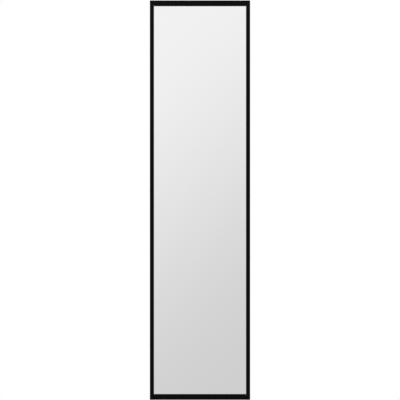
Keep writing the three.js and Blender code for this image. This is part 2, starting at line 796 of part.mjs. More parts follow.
/** One rail: its section along X, its screw port, and its ends notched into the stiles. */
function makeRail(which, side) {
  const edge = side * halfHeight;
  const inward = -side;
  const end = halfWidth - stileFace + grooveDepth - seatGap;
  const shoulder = halfWidth - stileFace - seatGap;
  const bar = drawOut(forwards, swapped(frameOutline(edge, inward, railFace)), [], -end, end);
  const hollow = drawOut(
    forwards, swapped(frameHollow(edge, inward, railFace)), [], -end - cutOverrun, end + cutOverrun);
  const portAxis = side * portLevel;
  const chamber = railFace - grooveDepth - 2 * frameWall;
  const port = rodAlongX(frameMiddle, portAxis, chamber / 2 + portBite, -end, end);
  const portBore = rodAlongX(
    frameMiddle, portAxis, cornerShankRadius + seatGap, -end - cutOverrun, end + cutOverrun);
  const low = Math.min(edge - inward * cutOverrun, edge + inward * (railFace + cutOverrun));
  const high = Math.max(edge - inward * cutOverrun, edge + inward * (railFace + cutOverrun));
  const tools = [portBore];
  for (const hand of [-1, 1]) {
    const near = Math.min(hand * shoulder, hand * (end + cutOverrun));
    const far = Math.max(hand * shoulder, hand * (end + cutOverrun));
    tools.push(block(near, far, frameFront - cutOverrun, frameFront + lipThickness + seatGap, low, high));
    tools.push(block(near, far, frameBack - lipThickness - seatGap, frameBack + cutOverrun, low, high));
  }
  addPiece(mirrorPanel, `rail_${which}`, cut(join(cut(bar, [hollow]), [port]), tools), blackCoat);
}

/** The same outline with its two axes exchanged. */
function swapped(outline) {
  return outline.map((point) => new THREE.Vector2(point.y, point.x));
}

// Glass, setting blocks and backing board

function makeGlazing() {
  const side = glassHalfWidth;
  const glass = block(-side, side, glassFront, glassBack, -glassHalfHeight, glassHalfHeight);
  addPiece(mirrorPanel, 'mirror_glass', glass, silverGlass);
  const board = block(-side, side, boardFront, boardBack, -glassHalfHeight, glassHalfHeight);
  addPiece(mirrorPanel, 'backing_board', board, blackBoard);
  const top = -glassHalfHeight - seatGap;
  for (const [which, hand] of [['front', 1], ['rear', -1]]) {
    const middle = hand * settingBlockPlaceShare * mirrorWidth;
    const rubber = block(
      middle - settingBlockLength / 2,
      middle + settingBlockLength / 2,
      glassFront,
      glassBack,
      top - settingBlockThickness,
      top,
    );
    addPiece(mirrorPanel, `setting_block_${which}`, rubber, blackRubber);
  }
}

// Cross straps and hinge blocks on the back of the frame

/** A pan-head screw along Y, its head towards the side panel. */
function makeBackScrew(name, x, headSeat, level, shankRadius, shankLength, headRadius, headHeight) {
  const screw = turned([
    [0, -shankLength],
    [shankRadius, -shankLength],
    [shankRadius, 0],
    [headRadius, 0],
    [headRadius, headHeight / 2],
    [headRadius - headHeight / 2, headHeight],
    [0, headHeight],
  ], smallRoundSteps);
  const piece = addPiece(mirrorPanel, name, screw, screwSteel);
  piece.rotation.x = -Math.PI / 2;
  piece.position.set(x, headSeat, level);
}

/** One cross strap, its hinge block and bush, and the screws of both. */
function makeHinge(which, side) {
  const level = side * blockLevel;
  const half = strapHeight / 2;
  const strapEnd = halfWidth - strapInset;
  const stileScrewX = halfWidth - stileFace + grooveDepth / 2;
  const blockScrewPlaces = blockScrewPlaceShares.map((share) => pivotX - share * blockBaseLength);
  const strapHoles = [
    circle(-stileScrewX, level + strapScrewRise, strapShankRadius + seatGap),
    circle(stileScrewX, level + strapScrewRise, strapShankRadius + seatGap),
    ...blockScrewPlaces.map((x) => circle(x, level, blockShankRadius + seatGap)),
  ];
  const strapOutline = roundedRectangle(-strapEnd, strapEnd, level - half, level + half, edgeRadius);
  const strap = drawOut(outwards, strapOutline, strapHoles, -strapBack, -strapFront);
  addPiece(mirrorPanel, `cross_strap_${which}`, strap, blackCoat);

  const strapShank = seatGap + strapThickness + seatGap + lipThickness;
  for (const [name, x] of [['front', stileScrewX], ['rear', -stileScrewX]]) {
    makeBackScrew(
      `strap_screw_${which}_${name}`, x, strapBack + seatGap, level + strapScrewRise,
      strapShankRadius, strapShank, strapHeadRadius, strapHeadHeight);
  }

  const baseBack = blockFront + blockBaseThickness;
  const outline = [
    ...points([[pivotX - blockBaseLength, blockFront], [pivotX + barrelRadius, blockFront]]),
    ...arc(pivotX, pivotY, barrelRadius, 0, Math.PI, roundSteps / 2),
    ...points([[pivotX - barrelRadius, baseBack], [pivotX - blockBaseLength, baseBack]]),
  ];
  const bore = circle(pivotX, pivotY, barrelBoreRadius, roundSteps);
  const body = drawOut(upwards, outline, [bore], level - blockHeight / 2, level + blockHeight / 2);
  const tools = blockScrewPlaces.map(
    (x) => rodAlongY(x, level, blockShankRadius + seatGap, blockFront - cutOverrun, baseBack + cutOverrun));
  if (side > 0) {
    tools.push(stopRecess());
  }
  addPiece(mirrorPanel, `hinge_block_${which}`, cut(body, tools), castAlloy);
  blockScrewPlaces.forEach((x, i) => {
    makeBackScrew(
      `block_screw_${which}_${i + 1}`, x, baseBack + seatGap, level,
      blockShankRadius, seatGap + blockBaseThickness + seatGap + strapThickness + blockScrewProtrusion,
      blockHeadRadius, blockHeadHeight);
  });

  const bottom = -blockHeight / 2 - seatGap - bushFlangeThickness;
  const sleeveTop = blockHeight / 2 - recessDepth - seatGap;
  const bush = turned([
    [bushInnerRadius, bottom],
    [bushFlangeRadius, bottom],
    [bushFlangeRadius, bottom + bushFlangeThickness],
    [bushOuterRadius, bottom + bushFlangeThickness],
    [bushOuterRadius, sleeveTop],
    [bushInnerRadius, sleeveTop],
    [bushInnerRadius, bottom],
  ]);
  const piece = addPiece(mirrorPanel, `pivot_bush_${which}`, bush, whiteNylon);
  piece.position.set(pivotX, pivotY, level);
}

/** Quarter-turn recess in the top of the upper block, in which the stop pin lies. */
function stopRecess() {
  const spare = Math.asin((stopPinRadius + runningGap) / barrelBoreRadius);
  const last = Math.PI / 2 + spare;
  const first = Math.PI / 2 - swivelTravel - spare;
  const outline = [
    ...arc(pivotX, pivotY, recessRadius, first, last, roundSteps / 2),
    ...arc(pivotX, pivotY, bushOuterRadius, last, first, roundSteps / 2),
  ];
  return drawOut(upwards, outline, [], upperBlockTop - recessDepth, upperBlockTop + cutOverrun);
}

makeMountingStrip();
makeSlide('upper', slideLevel);
makeSlide('lower', -slideLevel);
makePivotBracket('upper', 1);
makePivotBracket('lower', -1);
makePost();
makeCatch();
makeStile('front', 1);
makeStile('rear', -1);
makeRail('top', 1);
makeRail('bottom', -1);
makeGlazing();
makeHinge('upper', 1);
makeHinge('lower', -1);

export default pullOutMirror;
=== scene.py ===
"""Looks of the pull-out closet mirror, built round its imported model.

The stored mirror faces -Y and pulls out along +X. Everything is in metres, in
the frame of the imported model. Depths are counted outwards from the closet side
panel, along -Y.
"""

import logging
import math
from abc import ABC, abstractmethod
from collections.abc import Iterable, Sequence
from dataclasses import asdict, dataclass, field, fields, replace
from enum import Enum
from typing import ClassVar, TypeVar

import bpy
from mathutils import Matrix, Vector
from mathutils.geometry import tessellate_polygon

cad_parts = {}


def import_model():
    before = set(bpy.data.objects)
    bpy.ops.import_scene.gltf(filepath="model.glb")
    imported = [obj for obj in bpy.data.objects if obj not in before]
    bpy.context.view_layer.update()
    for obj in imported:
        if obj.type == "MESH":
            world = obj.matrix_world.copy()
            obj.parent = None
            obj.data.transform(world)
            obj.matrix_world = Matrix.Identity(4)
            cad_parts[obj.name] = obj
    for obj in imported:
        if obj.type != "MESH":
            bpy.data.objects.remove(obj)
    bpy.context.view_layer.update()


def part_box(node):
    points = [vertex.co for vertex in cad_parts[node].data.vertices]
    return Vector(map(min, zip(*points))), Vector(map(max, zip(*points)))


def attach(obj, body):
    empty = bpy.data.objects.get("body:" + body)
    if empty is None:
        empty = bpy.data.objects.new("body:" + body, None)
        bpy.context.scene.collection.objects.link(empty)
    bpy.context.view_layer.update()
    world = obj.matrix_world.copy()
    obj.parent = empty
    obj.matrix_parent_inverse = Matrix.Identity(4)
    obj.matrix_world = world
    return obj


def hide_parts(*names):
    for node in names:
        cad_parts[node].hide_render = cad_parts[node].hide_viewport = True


LOG = logging.getLogger("pull_out_mirror")

MM = 0.001
QUARTER_TURN = math.pi / 2
HALF_TURN = 2 * QUARTER_TURN
FULL_TURN = 4 * QUARTER_TURN
RIM_STEPS = 3
CORNER_STEPS = 6
ROUND_STEPS = 48
HEX_SIDES = 6
SMOOTH_ANGLE = math.radians(38)
WELD_DISTANCE = 0.002 * MM
CUT_OVERRUN = 2 * MM
SOLVER = "MANIFOLD"

Item = TypeVar("Item")
Point = tuple[float, float]
Range = tuple[float, float]
Triple = tuple[float, float, float]
Tints = tuple[Triple, Triple]
Outline = list[Point]
Seat = tuple[Vector, Vector]
Inputs = dict[str | int, object]
Mesh = bpy.types.Mesh
Node = bpy.types.Node
Socket = bpy.types.NodeSocket


# Named options


class Direction(Enum):
    """The way in which an outline is drawn out to a solid.

    Each member holds the axes of the outline's two numbers, and that of the way itself.
    """

    UP = ((1, 0, 0), (0, 1, 0), (0, 0, 1))
    FORWARD = ((0, 1, 0), (0, 0, 1), (1, 0, 0))
    OUTWARD = ((1, 0, 0), (0, 0, 1), (0, -1, 0))

    def place(self, a: float, b: float, along: float) -> Vector:
        """The point in space of an outline's point at a level along the direction."""
        first, second, third = (Vector(axis) for axis in self.value)
        return first * a + second * b + third * along

    def matrix(self, origin: Vector) -> Matrix:
        """The matrix that turns Z to this direction and moves zero to the origin."""
        turn = Matrix(self.value).transposed().to_4x4()
        return Matrix.Translation(origin) @ turn


class Overlap(Enum):
    """What is kept of two solids that overlap."""

    FIRST_ALONE = "DIFFERENCE"
    BOTH = "UNION"
    SHARED = "INTERSECT"


class InputKind(Enum):
    """What a named input of a Geometry Nodes tree takes."""

    NUMBER = "NodeSocketFloat"
    COUNT = "NodeSocketInt"
    SWITCH = "NodeSocketBool"
    ARROW = "NodeSocketVector"
    FINISH = "NodeSocketMaterial"


class Pair(Enum):
    """One of two opposite places: the word for it in the names of nodes, and its side."""

    def __init__(self, word: str, side: int) -> None:
        """Keeps the word and the side, plus or minus one."""
        self.word = word
        self.side = side


class Storey(Pair):
    """What stands above the middle of the mirror, or below it."""

    UPPER = ("upper", 1)
    LOWER = ("lower", -1)


class Edge(Pair):
    """The upright edge at the front of the closet, or the one at its rear."""

    FRONT = ("front", 1)
    REAR = ("rear", -1)


class End(Pair):
    """The top end of the frame, or its bottom end."""

    TOP = ("top", 1)
    BOTTOM = ("bottom", -1)


class Rank(Enum):
    """The place of a member or a cage within its slide."""

    OUTER = "outer"
    MIDDLE = "middle"
    INNER = "inner"


# Outlines


def arc(centre: Point, radius: float, start: float, end: float, steps: int) -> Outline:
    """Points along an arc, both ends included.

    Args:
        centre: The middle of the arc.
        radius: Its radius.
        start: The angle that it starts at.
        end: The angle that it ends at.
        steps: The number of chords.

    Returns:
        The points in order.
    """
    angles = (start + (end - start) * step / steps for step in range(steps + 1))
    return [(centre[0] + radius * math.cos(a), centre[1] + radius * math.sin(a)) for a in angles]


def circle(centre: Point, radius: float, steps: int = ROUND_STEPS) -> Outline:
    """Points round a circle, the first not repeated."""
    return arc(centre, radius, 0, FULL_TURN, steps)[:-1]


def with_neighbours(row: Sequence[Item]) -> Iterable[tuple[Item, Item, Item]]:
    """Each item of a closed row, between the one before it and the one after it."""
    return zip([row[-1], *row[:-1]], row, [*row[1:], row[0]])


def left_of(direction: Vector) -> Vector:
    """The direction at a quarter turn to the left of another."""
    return Vector((-direction.y, direction.x))


def rounded(corners: Sequence[Triple], steps: int = CORNER_STEPS) -> Outline:
    """Rounds the corners of an outline.

    Args:
        corners: Each corner's two coordinates and its radius, zero for a sharp one.
        steps: The number of chords in each rounded corner.

    Returns:
        The points of the rounded outline.
    """
    outline: Outline = []
    for before, (x, y, ease), after in with_neighbours(corners):
        corner = Vector((x, y))
        if not ease:
            outline.append(tuple(corner))
            continue
        arriving = (corner - Vector(before[:2])).normalized()
        leaving = (Vector(after[:2]) - corner).normalized()
        turn = math.atan2(arriving.cross(leaving), arriving.dot(leaving))
        radius = math.copysign(ease, turn)
        start = corner - arriving * radius * math.tan(turn / 2)
        centre = start + left_of(arriving) * radius
        first = math.atan2(*reversed(start - centre))
        outline += arc(tuple(centre), ease, first, first + turn, steps)
    return outline


def rectangle(low: Point, high: Point, radius: float = 0) -> Outline:
    """Points of a rectangle between two corners, whose own corners have a radius."""
    corners = (low, (high[0], low[1]), high, (low[0], high[1]))
    return rounded([(*corner, radius) for corner in corners])


def folded(path: Sequence[Point], sheet: float, bends: Sequence[float]) -> Outline:
    """Outline of a folded sheet.

    Args:
        path: The corners of the line along the middle of the sheet.
        sheet: The thickness of the sheet.
        bends: The inner radius of each bend.

    Returns:
        The points round the sheet.
    """
    corners = [Vector(point) for point in path]
    legs = [(after - before).normalized() for before, after in zip(corners, corners[1:])]
    sides: tuple[Outline, Outline] = ([], [])

    def add(middle: Vector, across: Vector) -> None:
        """Adds the two points beside the middle line."""
        for side, sign in zip(sides, (1, -1)):
            side.append(tuple(middle + across * sign * sheet / 2))

    add(corners[0], left_of(legs[0]))
    for corner, arriving, leaving, bend in zip(corners[1:-1], legs, legs[1:], bends):
        turn = math.atan2(arriving.cross(leaving), arriving.dot(leaving))
        radius = math.copysign(bend + sheet / 2, turn)
        centre = corner - arriving * radius * math.tan(turn / 2) + left_of(arriving) * radius
        for step in range(CORNER_STEPS + 1):
            across = Matrix.Rotation(turn * step / CORNER_STEPS, 2) @ left_of(arriving)
            add(centre - across * radius, across)
    add(corners[-1], left_of(legs[-1]))
    return sides[0] + sides[1][::-1]


def signed_area(outline: Outline) -> float:
    """The area inside an outline, negative where it runs clockwise."""
    pairs = zip(outline, outline[1:] + outline[:1])
    return sum(a[0] * b[1] - b[0] * a[1] for a, b in pairs) / 2


def drawn_in(outline: Outline, distance: float) -> Outline:
    """Moves an outline to its left, so that an anticlockwise one shrinks.

    Args:
        outline: The outline.
        distance: How far each of its lines moves.

    Returns:
        The points of the moved outline.
    """
    moved: Outline = []
    for before, here, after in with_neighbours(outline):
        corner = Vector(here)
        arriving = left_of((corner - Vector(before)).normalized())
        leaving = left_of((Vector(after) - corner).normalized())
        spread = arriving + leaving
        moved.append(tuple(corner + spread * (2 * distance / spread.length_squared)))
    return moved


# Meshes


def add_object(name: str, data: bpy.types.ID) -> bpy.types.Object:
    """Adds an object to the scene.

    Args:
        name: The object's name.
        data: Its mesh, light or camera.

    Returns:
        The object.
    """
    thing = bpy.data.objects.new(name, data)
    bpy.context.scene.collection.objects.link(thing)
    return thing


def mesh_of(name: str, corners: Iterable[Vector], faces: Iterable[Iterable[int]]) -> Mesh:
    """A smooth-shaded mesh whose true edges stay sharp.

    Args:
        name: The mesh's name.
        corners: Its vertices.
        faces: The vertex numbers of each face.

    Returns:
        The mesh.
    """
    mesh = bpy.data.meshes.new(name)
    mesh.from_pydata([tuple(corner) for corner in corners], [], [tuple(face) for face in faces])
    mesh.validate()
    return smoothed(mesh)


def smoothed(mesh: Mesh) -> Mesh:
    """Shades a mesh smooth, apart from its true edges.

    Args:
        mesh: The mesh, which is changed.

    Returns:
        The same mesh.
    """
    mesh.shade_smooth()
    mesh.set_sharp_from_angle(angle=SMOOTH_ANGLE)
    mesh.update()
    return mesh


def rings_between(start: float, end: float, rim: float) -> list[tuple[float, float]]:
    """The rings of points that a solid is drawn out in.

    Args:
        start: The level where the solid starts.
        end: The level where it ends.
        rim: The radius of its rounded rims, zero for sharp ones.

    Returns:
        How far each ring is drawn in, and its level.
    """
    if not rim:
        return [(0.0, start), (0.0, end)]
    turns = [QUARTER_TURN * step / RIM_STEPS for step in range(RIM_STEPS + 1)]
    first = [(rim * (1 - math.sin(turn)), start + rim * (1 - math.cos(turn))) for turn in turns]
    return first + [(inset, start + end - level) for inset, level in reversed(first)]


def draw_out(
    direction: Direction,
    outline: Outline,
    start: float,
    end: float,
    holes: Sequence[Outline] = (),
    rim: float = 0,
) -> Mesh:
    """Draws an outline with its holes out to a solid whose rims are rounded.

    Args:
        direction: The way that it is drawn.
        outline: The outer outline.
        start: The level where the solid starts.
        end: The level where it ends.
        holes: The outlines of the holes through it.
        rim: The radius of the rounded rims, zero for sharp ones.

    Returns:
        The closed mesh, its faces pointing out.
    """
    loops = [outline if signed_area(outline) > 0 else outline[::-1]]
    loops += [hole if signed_area(hole) < 0 else hole[::-1] for hole in holes]
    corners: list[Vector] = []
    faces: list[list[int]] = []
    layers: list[list[list[int]]] = []
    for inset, level in rings_between(start, end, rim):
        layer: list[list[int]] = []
        for loop in loops:
            moved = drawn_in(loop, inset) if inset else loop
            layer.append(list(range(len(corners), len(corners) + len(moved))))
            corners += [direction.place(*point, level) for point in moved]
        layers.append(layer)
    for lower, upper in zip(layers, layers[1:]):
        for low, high in zip(lower, upper):
            for i in range(len(low)):
                j = (i + 1) % len(low)
                faces.append([low[i], low[j], high[j], high[i]])
    flat = [[Vector((*point, 0)) for point in loop] for loop in loops]
    plane = [point for loop in flat for point in loop]
    bottom, top = (
        [number for ring in layer for number in ring] for layer in (layers[0], layers[-1]))
    # Both ends take the same triangles, turned over at the bottom.
    for a, b, c in tessellate_polygon(flat):
        if (plane[b] - plane[a]).cross(plane[c] - plane[a]).z < 0:
            b, c = c, b
        faces.append([bottom[a], bottom[c], bottom[b]])
        faces.append([top[a], top[b], top[c]])
    return mesh_of("drawn_out", corners, faces)


def rod(
    direction: Direction, centre: Point, radius: float, ends: Range, steps: int = ROUND_STEPS
) -> Mesh:
    """A plain rod, for a bar or for the hole that it drills.

    Args:
        direction: The way that it runs.
        centre: The place of its axis across that way.
        radius: Its radius.
        ends: The levels of its ends, in any order.
        steps: The number of its sides.

    Returns:
        The closed mesh.
    """
    return draw_out(direction, circle(centre, radius, steps), *sorted(ends))


def flat_piece(node: str, corner: float, rim: float, holes: Sequence[Outline] = ()) -> Mesh:
    """A flat upright piece as large as its node.

    Args:
        node: The node.
        corner: The radius of its corners.
        rim: The radius of its rims.
        holes: The outlines of the holes through it.

    Returns:
        The closed mesh.
    """
    low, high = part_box(node)
    outline = rectangle((low.x, low.z), (high.x, high.z), corner)
    return draw_out(Direction.OUTWARD, outline, -high.y, -low.y, holes, rim)


def turned(place: Matrix, profile: Sequence[Triple]) -> Mesh:
    """Turns a profile about an axis.

    Args:
        place: The matrix that takes the Z axis to the axis of the piece.
        profile: Each corner's radius, level and rounding, anticlockwise round the section
            when the axis is at its left.

    Returns:
        The closed mesh, its faces pointing out.
    """
    corners: list[Vector] = []
    rings: list[list[int]] = []
    for radius, level in rounded(profile):
        first = len(corners)
        # A ring on the axis is one point, which stands for all of its corners.
        if radius < WELD_DISTANCE:
            corners.append(place @ Vector((0, 0, level)))
            rings.append([first] * ROUND_STEPS)
            continue
        corners += [place @ Vector((*point, level)) for point in circle((0, 0), radius)]
        rings.append(list(range(first, first + ROUND_STEPS)))
    faces: list[list[int]] = []
    for low, high in zip(rings, rings[1:] + rings[:1]):
        for i in range(ROUND_STEPS):
            j = (i + 1) % ROUND_STEPS
            around = list(dict.fromkeys((low[i], low[j], high[j], high[i])))
            if len(around) > 2:
                faces.append(around)
    return mesh_of("turned", corners, faces)


def turned_upright(centre: Point, profile: Sequence[Triple]) -> Mesh:
    """Turns a profile about an upright axis, its levels counted from zero."""
    return turned(Matrix.Translation((*centre, 0)), profile)


def turned_outward(x: float, back: float, z: float, profile: Sequence[Triple]) -> Mesh:
    """Turns a profile about an axis at X and Z, its levels counted outwards from its back."""
    return turned(Direction.OUTWARD.matrix(Vector((x, back, z))), profile)


def merged(meshes: Iterable[Mesh]) -> Mesh:
    """Puts the separate solids of several meshes in one.

    Args:
        meshes: The meshes.

    Returns:
        The mesh that holds them all.
    """
    corners: list[Vector] = []
    faces: list[list[int]] = []
    for mesh in meshes:
        first = len(corners)
        corners += [vertex.co.copy() for vertex in mesh.vertices]
        faces += [[first + number for number in face.vertices] for face in mesh.polygons]
    return mesh_of("merged", corners, faces)


def combined(mesh: Mesh, others: Iterable[Mesh], kept: Overlap) -> Mesh:
    """Combines a solid with others, one after the other.

    Args:
        mesh: The first solid.
        others: The other solids.
        kept: What is kept of each two.

    Returns:
        The closed mesh of the result.
    """
    for other in others:
        body, tool = (add_object("combined", part) for part in (mesh, other))
        modifier = body.modifiers.new("Combine", "BOOLEAN")
        modifier.operation = kept.value
        modifier.solver = SOLVER
        modifier.object = tool
        mesh = smoothed(evaluated_mesh(body))
        for thing in (body, tool):
            bpy.data.objects.remove(thing)
    return mesh


def cut(mesh: Mesh, tools: Iterable[Mesh]) -> Mesh:
    """The mesh without what the tools take away."""
    return combined(mesh, tools, Overlap.FIRST_ALONE)


def joined(mesh: Mesh, others: Iterable[Mesh]) -> Mesh:
    """The mesh in one solid with others that overlap it."""
    return combined(mesh, others, Overlap.BOTH)


def evaluated_mesh(thing: bpy.types.Object) -> Mesh:
    """A plain mesh of an object as its modifiers leave it."""
    graph = bpy.context.evaluated_depsgraph_get()
    return bpy.data.meshes.new_from_object(thing.evaluated_get(graph), depsgraph=graph)


# Nodes


def add_node(
    tree: bpy.types.NodeTree, kind: str, inputs: Inputs | None = None, **settings: object
) -> Node:
    """Adds one node to a tree.

    Args:
        tree: The tree.
        kind: The node's type.
        inputs: What each input is linked to or set to, by its name or number.
        **settings: The node's own settings.

    Returns:
        The node.
    """
    node = tree.nodes.new(kind)
    for name, value in settings.items():
        setattr(node, name, value)
    for key, value in (inputs or {}).items():
        put_in(tree, node, key, value)
    return node


def put_in(tree: bpy.types.NodeTree, node: Node, key: str | int, value: object) -> None:
    """Links a socket to an input of a node, or sets the input to a plain value.

    Args:
        tree: The node's tree.
        node: The node.
        key: The input's name or number.
        value: The socket or the value.
    """
    if isinstance(value, Socket):
        tree.links.new(value, node.inputs[key])
    else:
        node.inputs[key].default_value = value


def reckoned(
    tree: bpy.types.NodeTree, operation: str, *numbers: object, clamped: bool = False
) -> Socket:
    """Works out a number from others.

    Args:
        tree: The tree.
        operation: The operation of the Math node.
        *numbers: The sockets or values that it works on.
        clamped: Whether the result is kept between 0 and 1.

    Returns:
        The socket of the result.
    """
    inputs = dict(enumerate(numbers))
    return add_node(
        tree, "ShaderNodeMath", inputs, operation=operation, use_clamp=clamped).outputs[0]


def ranged(
    tree: bpy.types.NodeTree, value: Socket, source: Range, target: Range, way: str = "LINEAR"
) -> Socket:
    """Takes a number from one range to another.

    Args:
        tree: The tree.
        value: The number.
        source: The ends of its range.
        target: The ends of the new range.
        way: The interpolation between them.

    Returns:
        The socket of the new number.
    """
    inputs = {
        "Value": value, "From Min": source[0], "From Max": source[1],
        "To Min": target[0], "To Max": target[1],
    }
    return add_node(tree, "ShaderNodeMapRange", inputs, interpolation_type=way).outputs["Result"]


def mixed(tree: bpy.types.NodeTree, share: Socket, off: object, on: object) -> Socket:
    """Goes from one number to another by a share, and returns the socket of the result."""
    inputs = {"Factor": share, "A": off, "B": on}
    return add_node(tree, "ShaderNodeMix", inputs, data_type="FLOAT").outputs[0]


class Shader:
    """A node material with one principled surface, patterned on object coordinates."""

    def __init__(self, name: str) -> None:
        """Makes the material and its coordinates.

        Args:
            name: The material's name.
        """
        self.material = bpy.data.materials.new(name)
        self.material.use_nodes = True
        self.tree = self.material.node_tree
        self.surface = self.tree.nodes["Principled BSDF"]
        self.place = self.add("ShaderNodeTexCoord").outputs["Object"]

    def add(self, kind: str, inputs: Inputs | None = None, **settings: object) -> Node:
        """Adds a node to the material."""
        return add_node(self.tree, kind, inputs, **settings)

    def set(self, **values: object) -> None:
        """Sets inputs of the surface, underscores in their names standing for spaces."""
        for key, value in values.items():
            put_in(self.tree, self.surface, key.replace("_", " "), value)

    def noise(self, grain: Triple, detail: float = 3, distortion: float = 0) -> Socket:
        """A noise pattern.

        Args:
            grain: The size of its grains along each axis, in metres.
            detail: Its number of finer layers.
            distortion: How much its grains are bent.

        Returns:
            The socket of its values, 0 to 1.
        """
        stretch = tuple(1 / size for size in grain)
        where = self.add("ShaderNodeMapping", {"Vector": self.place, "Scale": stretch}).outputs[0]
        inputs = {"Vector": where, "Scale": 1.0, "Detail": detail, "Distortion": distortion}
        return self.add("ShaderNodeTexNoise", inputs).outputs["Fac"]

    def spread(self, value: Socket, ends: Range, edge: float) -> Socket:
        """Spreads the middle of a pattern, without a share at each of its ends, over a range."""
        return ranged(self.tree, value, (edge, 1 - edge), ends)

    def blend(self, value: Socket, tints: Tints) -> Socket:
        """Blends two tints by a pattern.

        Args:
            value: The pattern, 0 to 1.
            tints: The tints at its low and its high end.

        Returns:
            The socket of the colour.
        """
        node = self.add("ShaderNodeMix", {"Factor": value}, data_type="RGBA")
        sockets = [socket for socket in node.inputs if socket.type == "RGBA"]
        for socket, tint in zip(sockets, tints):
            socket.default_value = (*tint, 1)
        return next(socket for socket in node.outputs if socket.type == "RGBA")

    def raise_by(self, height: Socket, depth: float) -> None:
        """Raises the surface by a pattern of a depth in metres."""
        bump = self.add("ShaderNodeBump", {"Height": height, "Distance": depth})
        self.set(Normal=bump.outputs["Normal"])


# Finishes


@dataclass(frozen=True)
class Finish:
    """A finish: two tints in slow clouds, and a fine grain in its roughness and relief.

    The clouds and the grain are sizes of one grain along each axis. The swirl is how
    much the clouds are bent, and the edge is the share of each end of their pattern
    that has one tint alone.
    """

    name: str
    slot: str
    tints: Tints
    clouds: Triple
    grain: Triple
    roughness: Range
    relief: float
    metal: float = 0
    gloss: float = 0.5
    swirl: float = 0.5
    edge: float = 0.3

    CLOUD_DETAIL: ClassVar[float] = 5
    GRAIN_EDGE: ClassVar[float] = 0.3

    def material(self) -> bpy.types.Material:
        """The finish's material, made when it is first asked for.

        Returns:
            The material.
        """
        known = bpy.data.materials.get(self.name)
        if known:
            return known
        shader = Shader(self.name)
        grain = shader.noise(self.grain)
        clouds = shader.noise(self.clouds, self.CLOUD_DETAIL, self.swirl)
        shader.set(
            Base_Color=shader.blend(shader.spread(clouds, (0, 1), self.edge), self.tints),
            Roughness=shader.spread(grain, self.roughness, self.GRAIN_EDGE),
            Metallic=self.metal,
            Specular_IOR_Level=self.gloss,
        )
        if self.relief:
            shader.raise_by(grain, self.relief)
        return shader.material


def grey(tone: float, spread: float, warmth: float = 0) -> Tints:
    """Two tints of a grey.

    Args:
        tone: Its brightness.
        spread: The share by which the tints differ from it.
        warmth: The share by which the second tint is warmer and the first one colder.

    Returns:
        The darker and the lighter tint.
    """
    return tuple(
        (tone * share * (1 + warm), tone * share, tone * share * (1 - warm))
        for share, warm in ((1 - spread, -warmth), (1 + spread, warmth)))


def cube(size: float) -> Triple:
    """Grains as long as they are wide."""
    return (size, size, size)


STEEL_COAT = Finish(
    "steel_powder_coat", "black_steel", grey(0.011, 0.12), clouds=(60 * MM, 60 * MM, 90 * MM),
    grain=cube(0.9 * MM), roughness=(0.41, 0.52), relief=0.012 * MM, gloss=0.3)
FRAME_COAT = replace(
    STEEL_COAT, name="frame_powder_coat", slot="black_frame", tints=grey(0.0018, 0.12), gloss=0.045)
SILVER = Finish(
    "silvered_glass", "mirror_glass", grey(0.933, 0.0015), clouds=(140 * MM, 140 * MM, 260 * MM),
    grain=cube(200 * MM), roughness=(0.004, 0.009), relief=0, metal=1)
GLASS_EDGE = Finish(
    "glass_edge", "mirror_glass", ((0.07, 0.13, 0.11), (0.1, 0.17, 0.15)),
    clouds=(3 * MM, 3 * MM, 9 * MM), grain=(0.4 * MM, 0.4 * MM, 12 * MM), roughness=(0.3, 0.55),
    relief=0.02 * MM)
BOARD = Finish(
    "foil_board", "backing_board", grey(0.03, 0.3, 0.03), clouds=(22 * MM, 22 * MM, 420 * MM),
    grain=(0.5 * MM, 0.5 * MM, 14 * MM), roughness=(0.47, 0.69), relief=0.05 * MM, gloss=0.35)
ZINC = Finish(
    "zinc_plate", "zinc_steel", grey(0.42, 0.08, 0.03), clouds=(45 * MM, 30 * MM, 30 * MM),
    grain=(60 * MM, 0.5 * MM, 0.5 * MM), roughness=(0.22, 0.44), relief=0.008 * MM, metal=1,
    swirl=0.8)
ZINC_STRIP = replace(
    ZINC, name="zinc_strip", clouds=(30 * MM, 30 * MM, 60 * MM),
    grain=(0.5 * MM, 0.5 * MM, 60 * MM))
BRIGHT = Finish(
    "bright_steel", "bright_steel", grey(0.4, 0.08), clouds=(9 * MM, 9 * MM, 30 * MM),
    grain=(8 * MM, 8 * MM, 0.25 * MM), roughness=(0.2, 0.32), relief=0.004 * MM, metal=1)
BALL = replace(BRIGHT, name="ball_steel", grain=cube(1 * MM), roughness=(0.05, 0.14))
NICKEL = replace(
    BRIGHT, name="magnet_nickel", slot="magnet_nickel", tints=grey(0.5, 0.04, 0.04),
    roughness=(0.14, 0.26))
SCREW = Finish(
    "screw_steel", "black_screw", ((0.05, 0.05, 0.053), (0.11, 0.107, 0.104)),
    clouds=cube(1.6 * MM), grain=cube(1.2 * MM), roughness=(0.3, 0.46), relief=0.008 * MM,
    metal=0.9, edge=0.36)
CASTING = Finish(
    "cast_coat", "cast_alloy", grey(0.02, 0.22), clouds=cube(7 * MM), grain=cube(0.6 * MM),
    roughness=(0.42, 0.6), relief=0.02 * MM, gloss=0.4)
BLACK_NYLON = Finish(
    "black_nylon", "black_nylon", grey(0.015, 0.08), clouds=(8 * MM, 8 * MM, 12 * MM),
    grain=cube(0.35 * MM), roughness=(0.39, 0.53), relief=0.015 * MM, gloss=0.4)
CAP_NYLON = replace(BLACK_NYLON, name="cap_nylon", tints=grey(0.004, 0.1), gloss=0.1)
WHITE_NYLON = replace(
    BLACK_NYLON, name="white_nylon", slot="white_nylon", tints=grey(0.72, 0.03, 0.03),
    roughness=(0.34, 0.48))
RUBBER = replace(
    BLACK_NYLON, name="black_rubber", slot="black_rubber", tints=grey(0.018, 0.1),
    roughness=(0.7, 0.86), gloss=0.25)


# Geometry Nodes


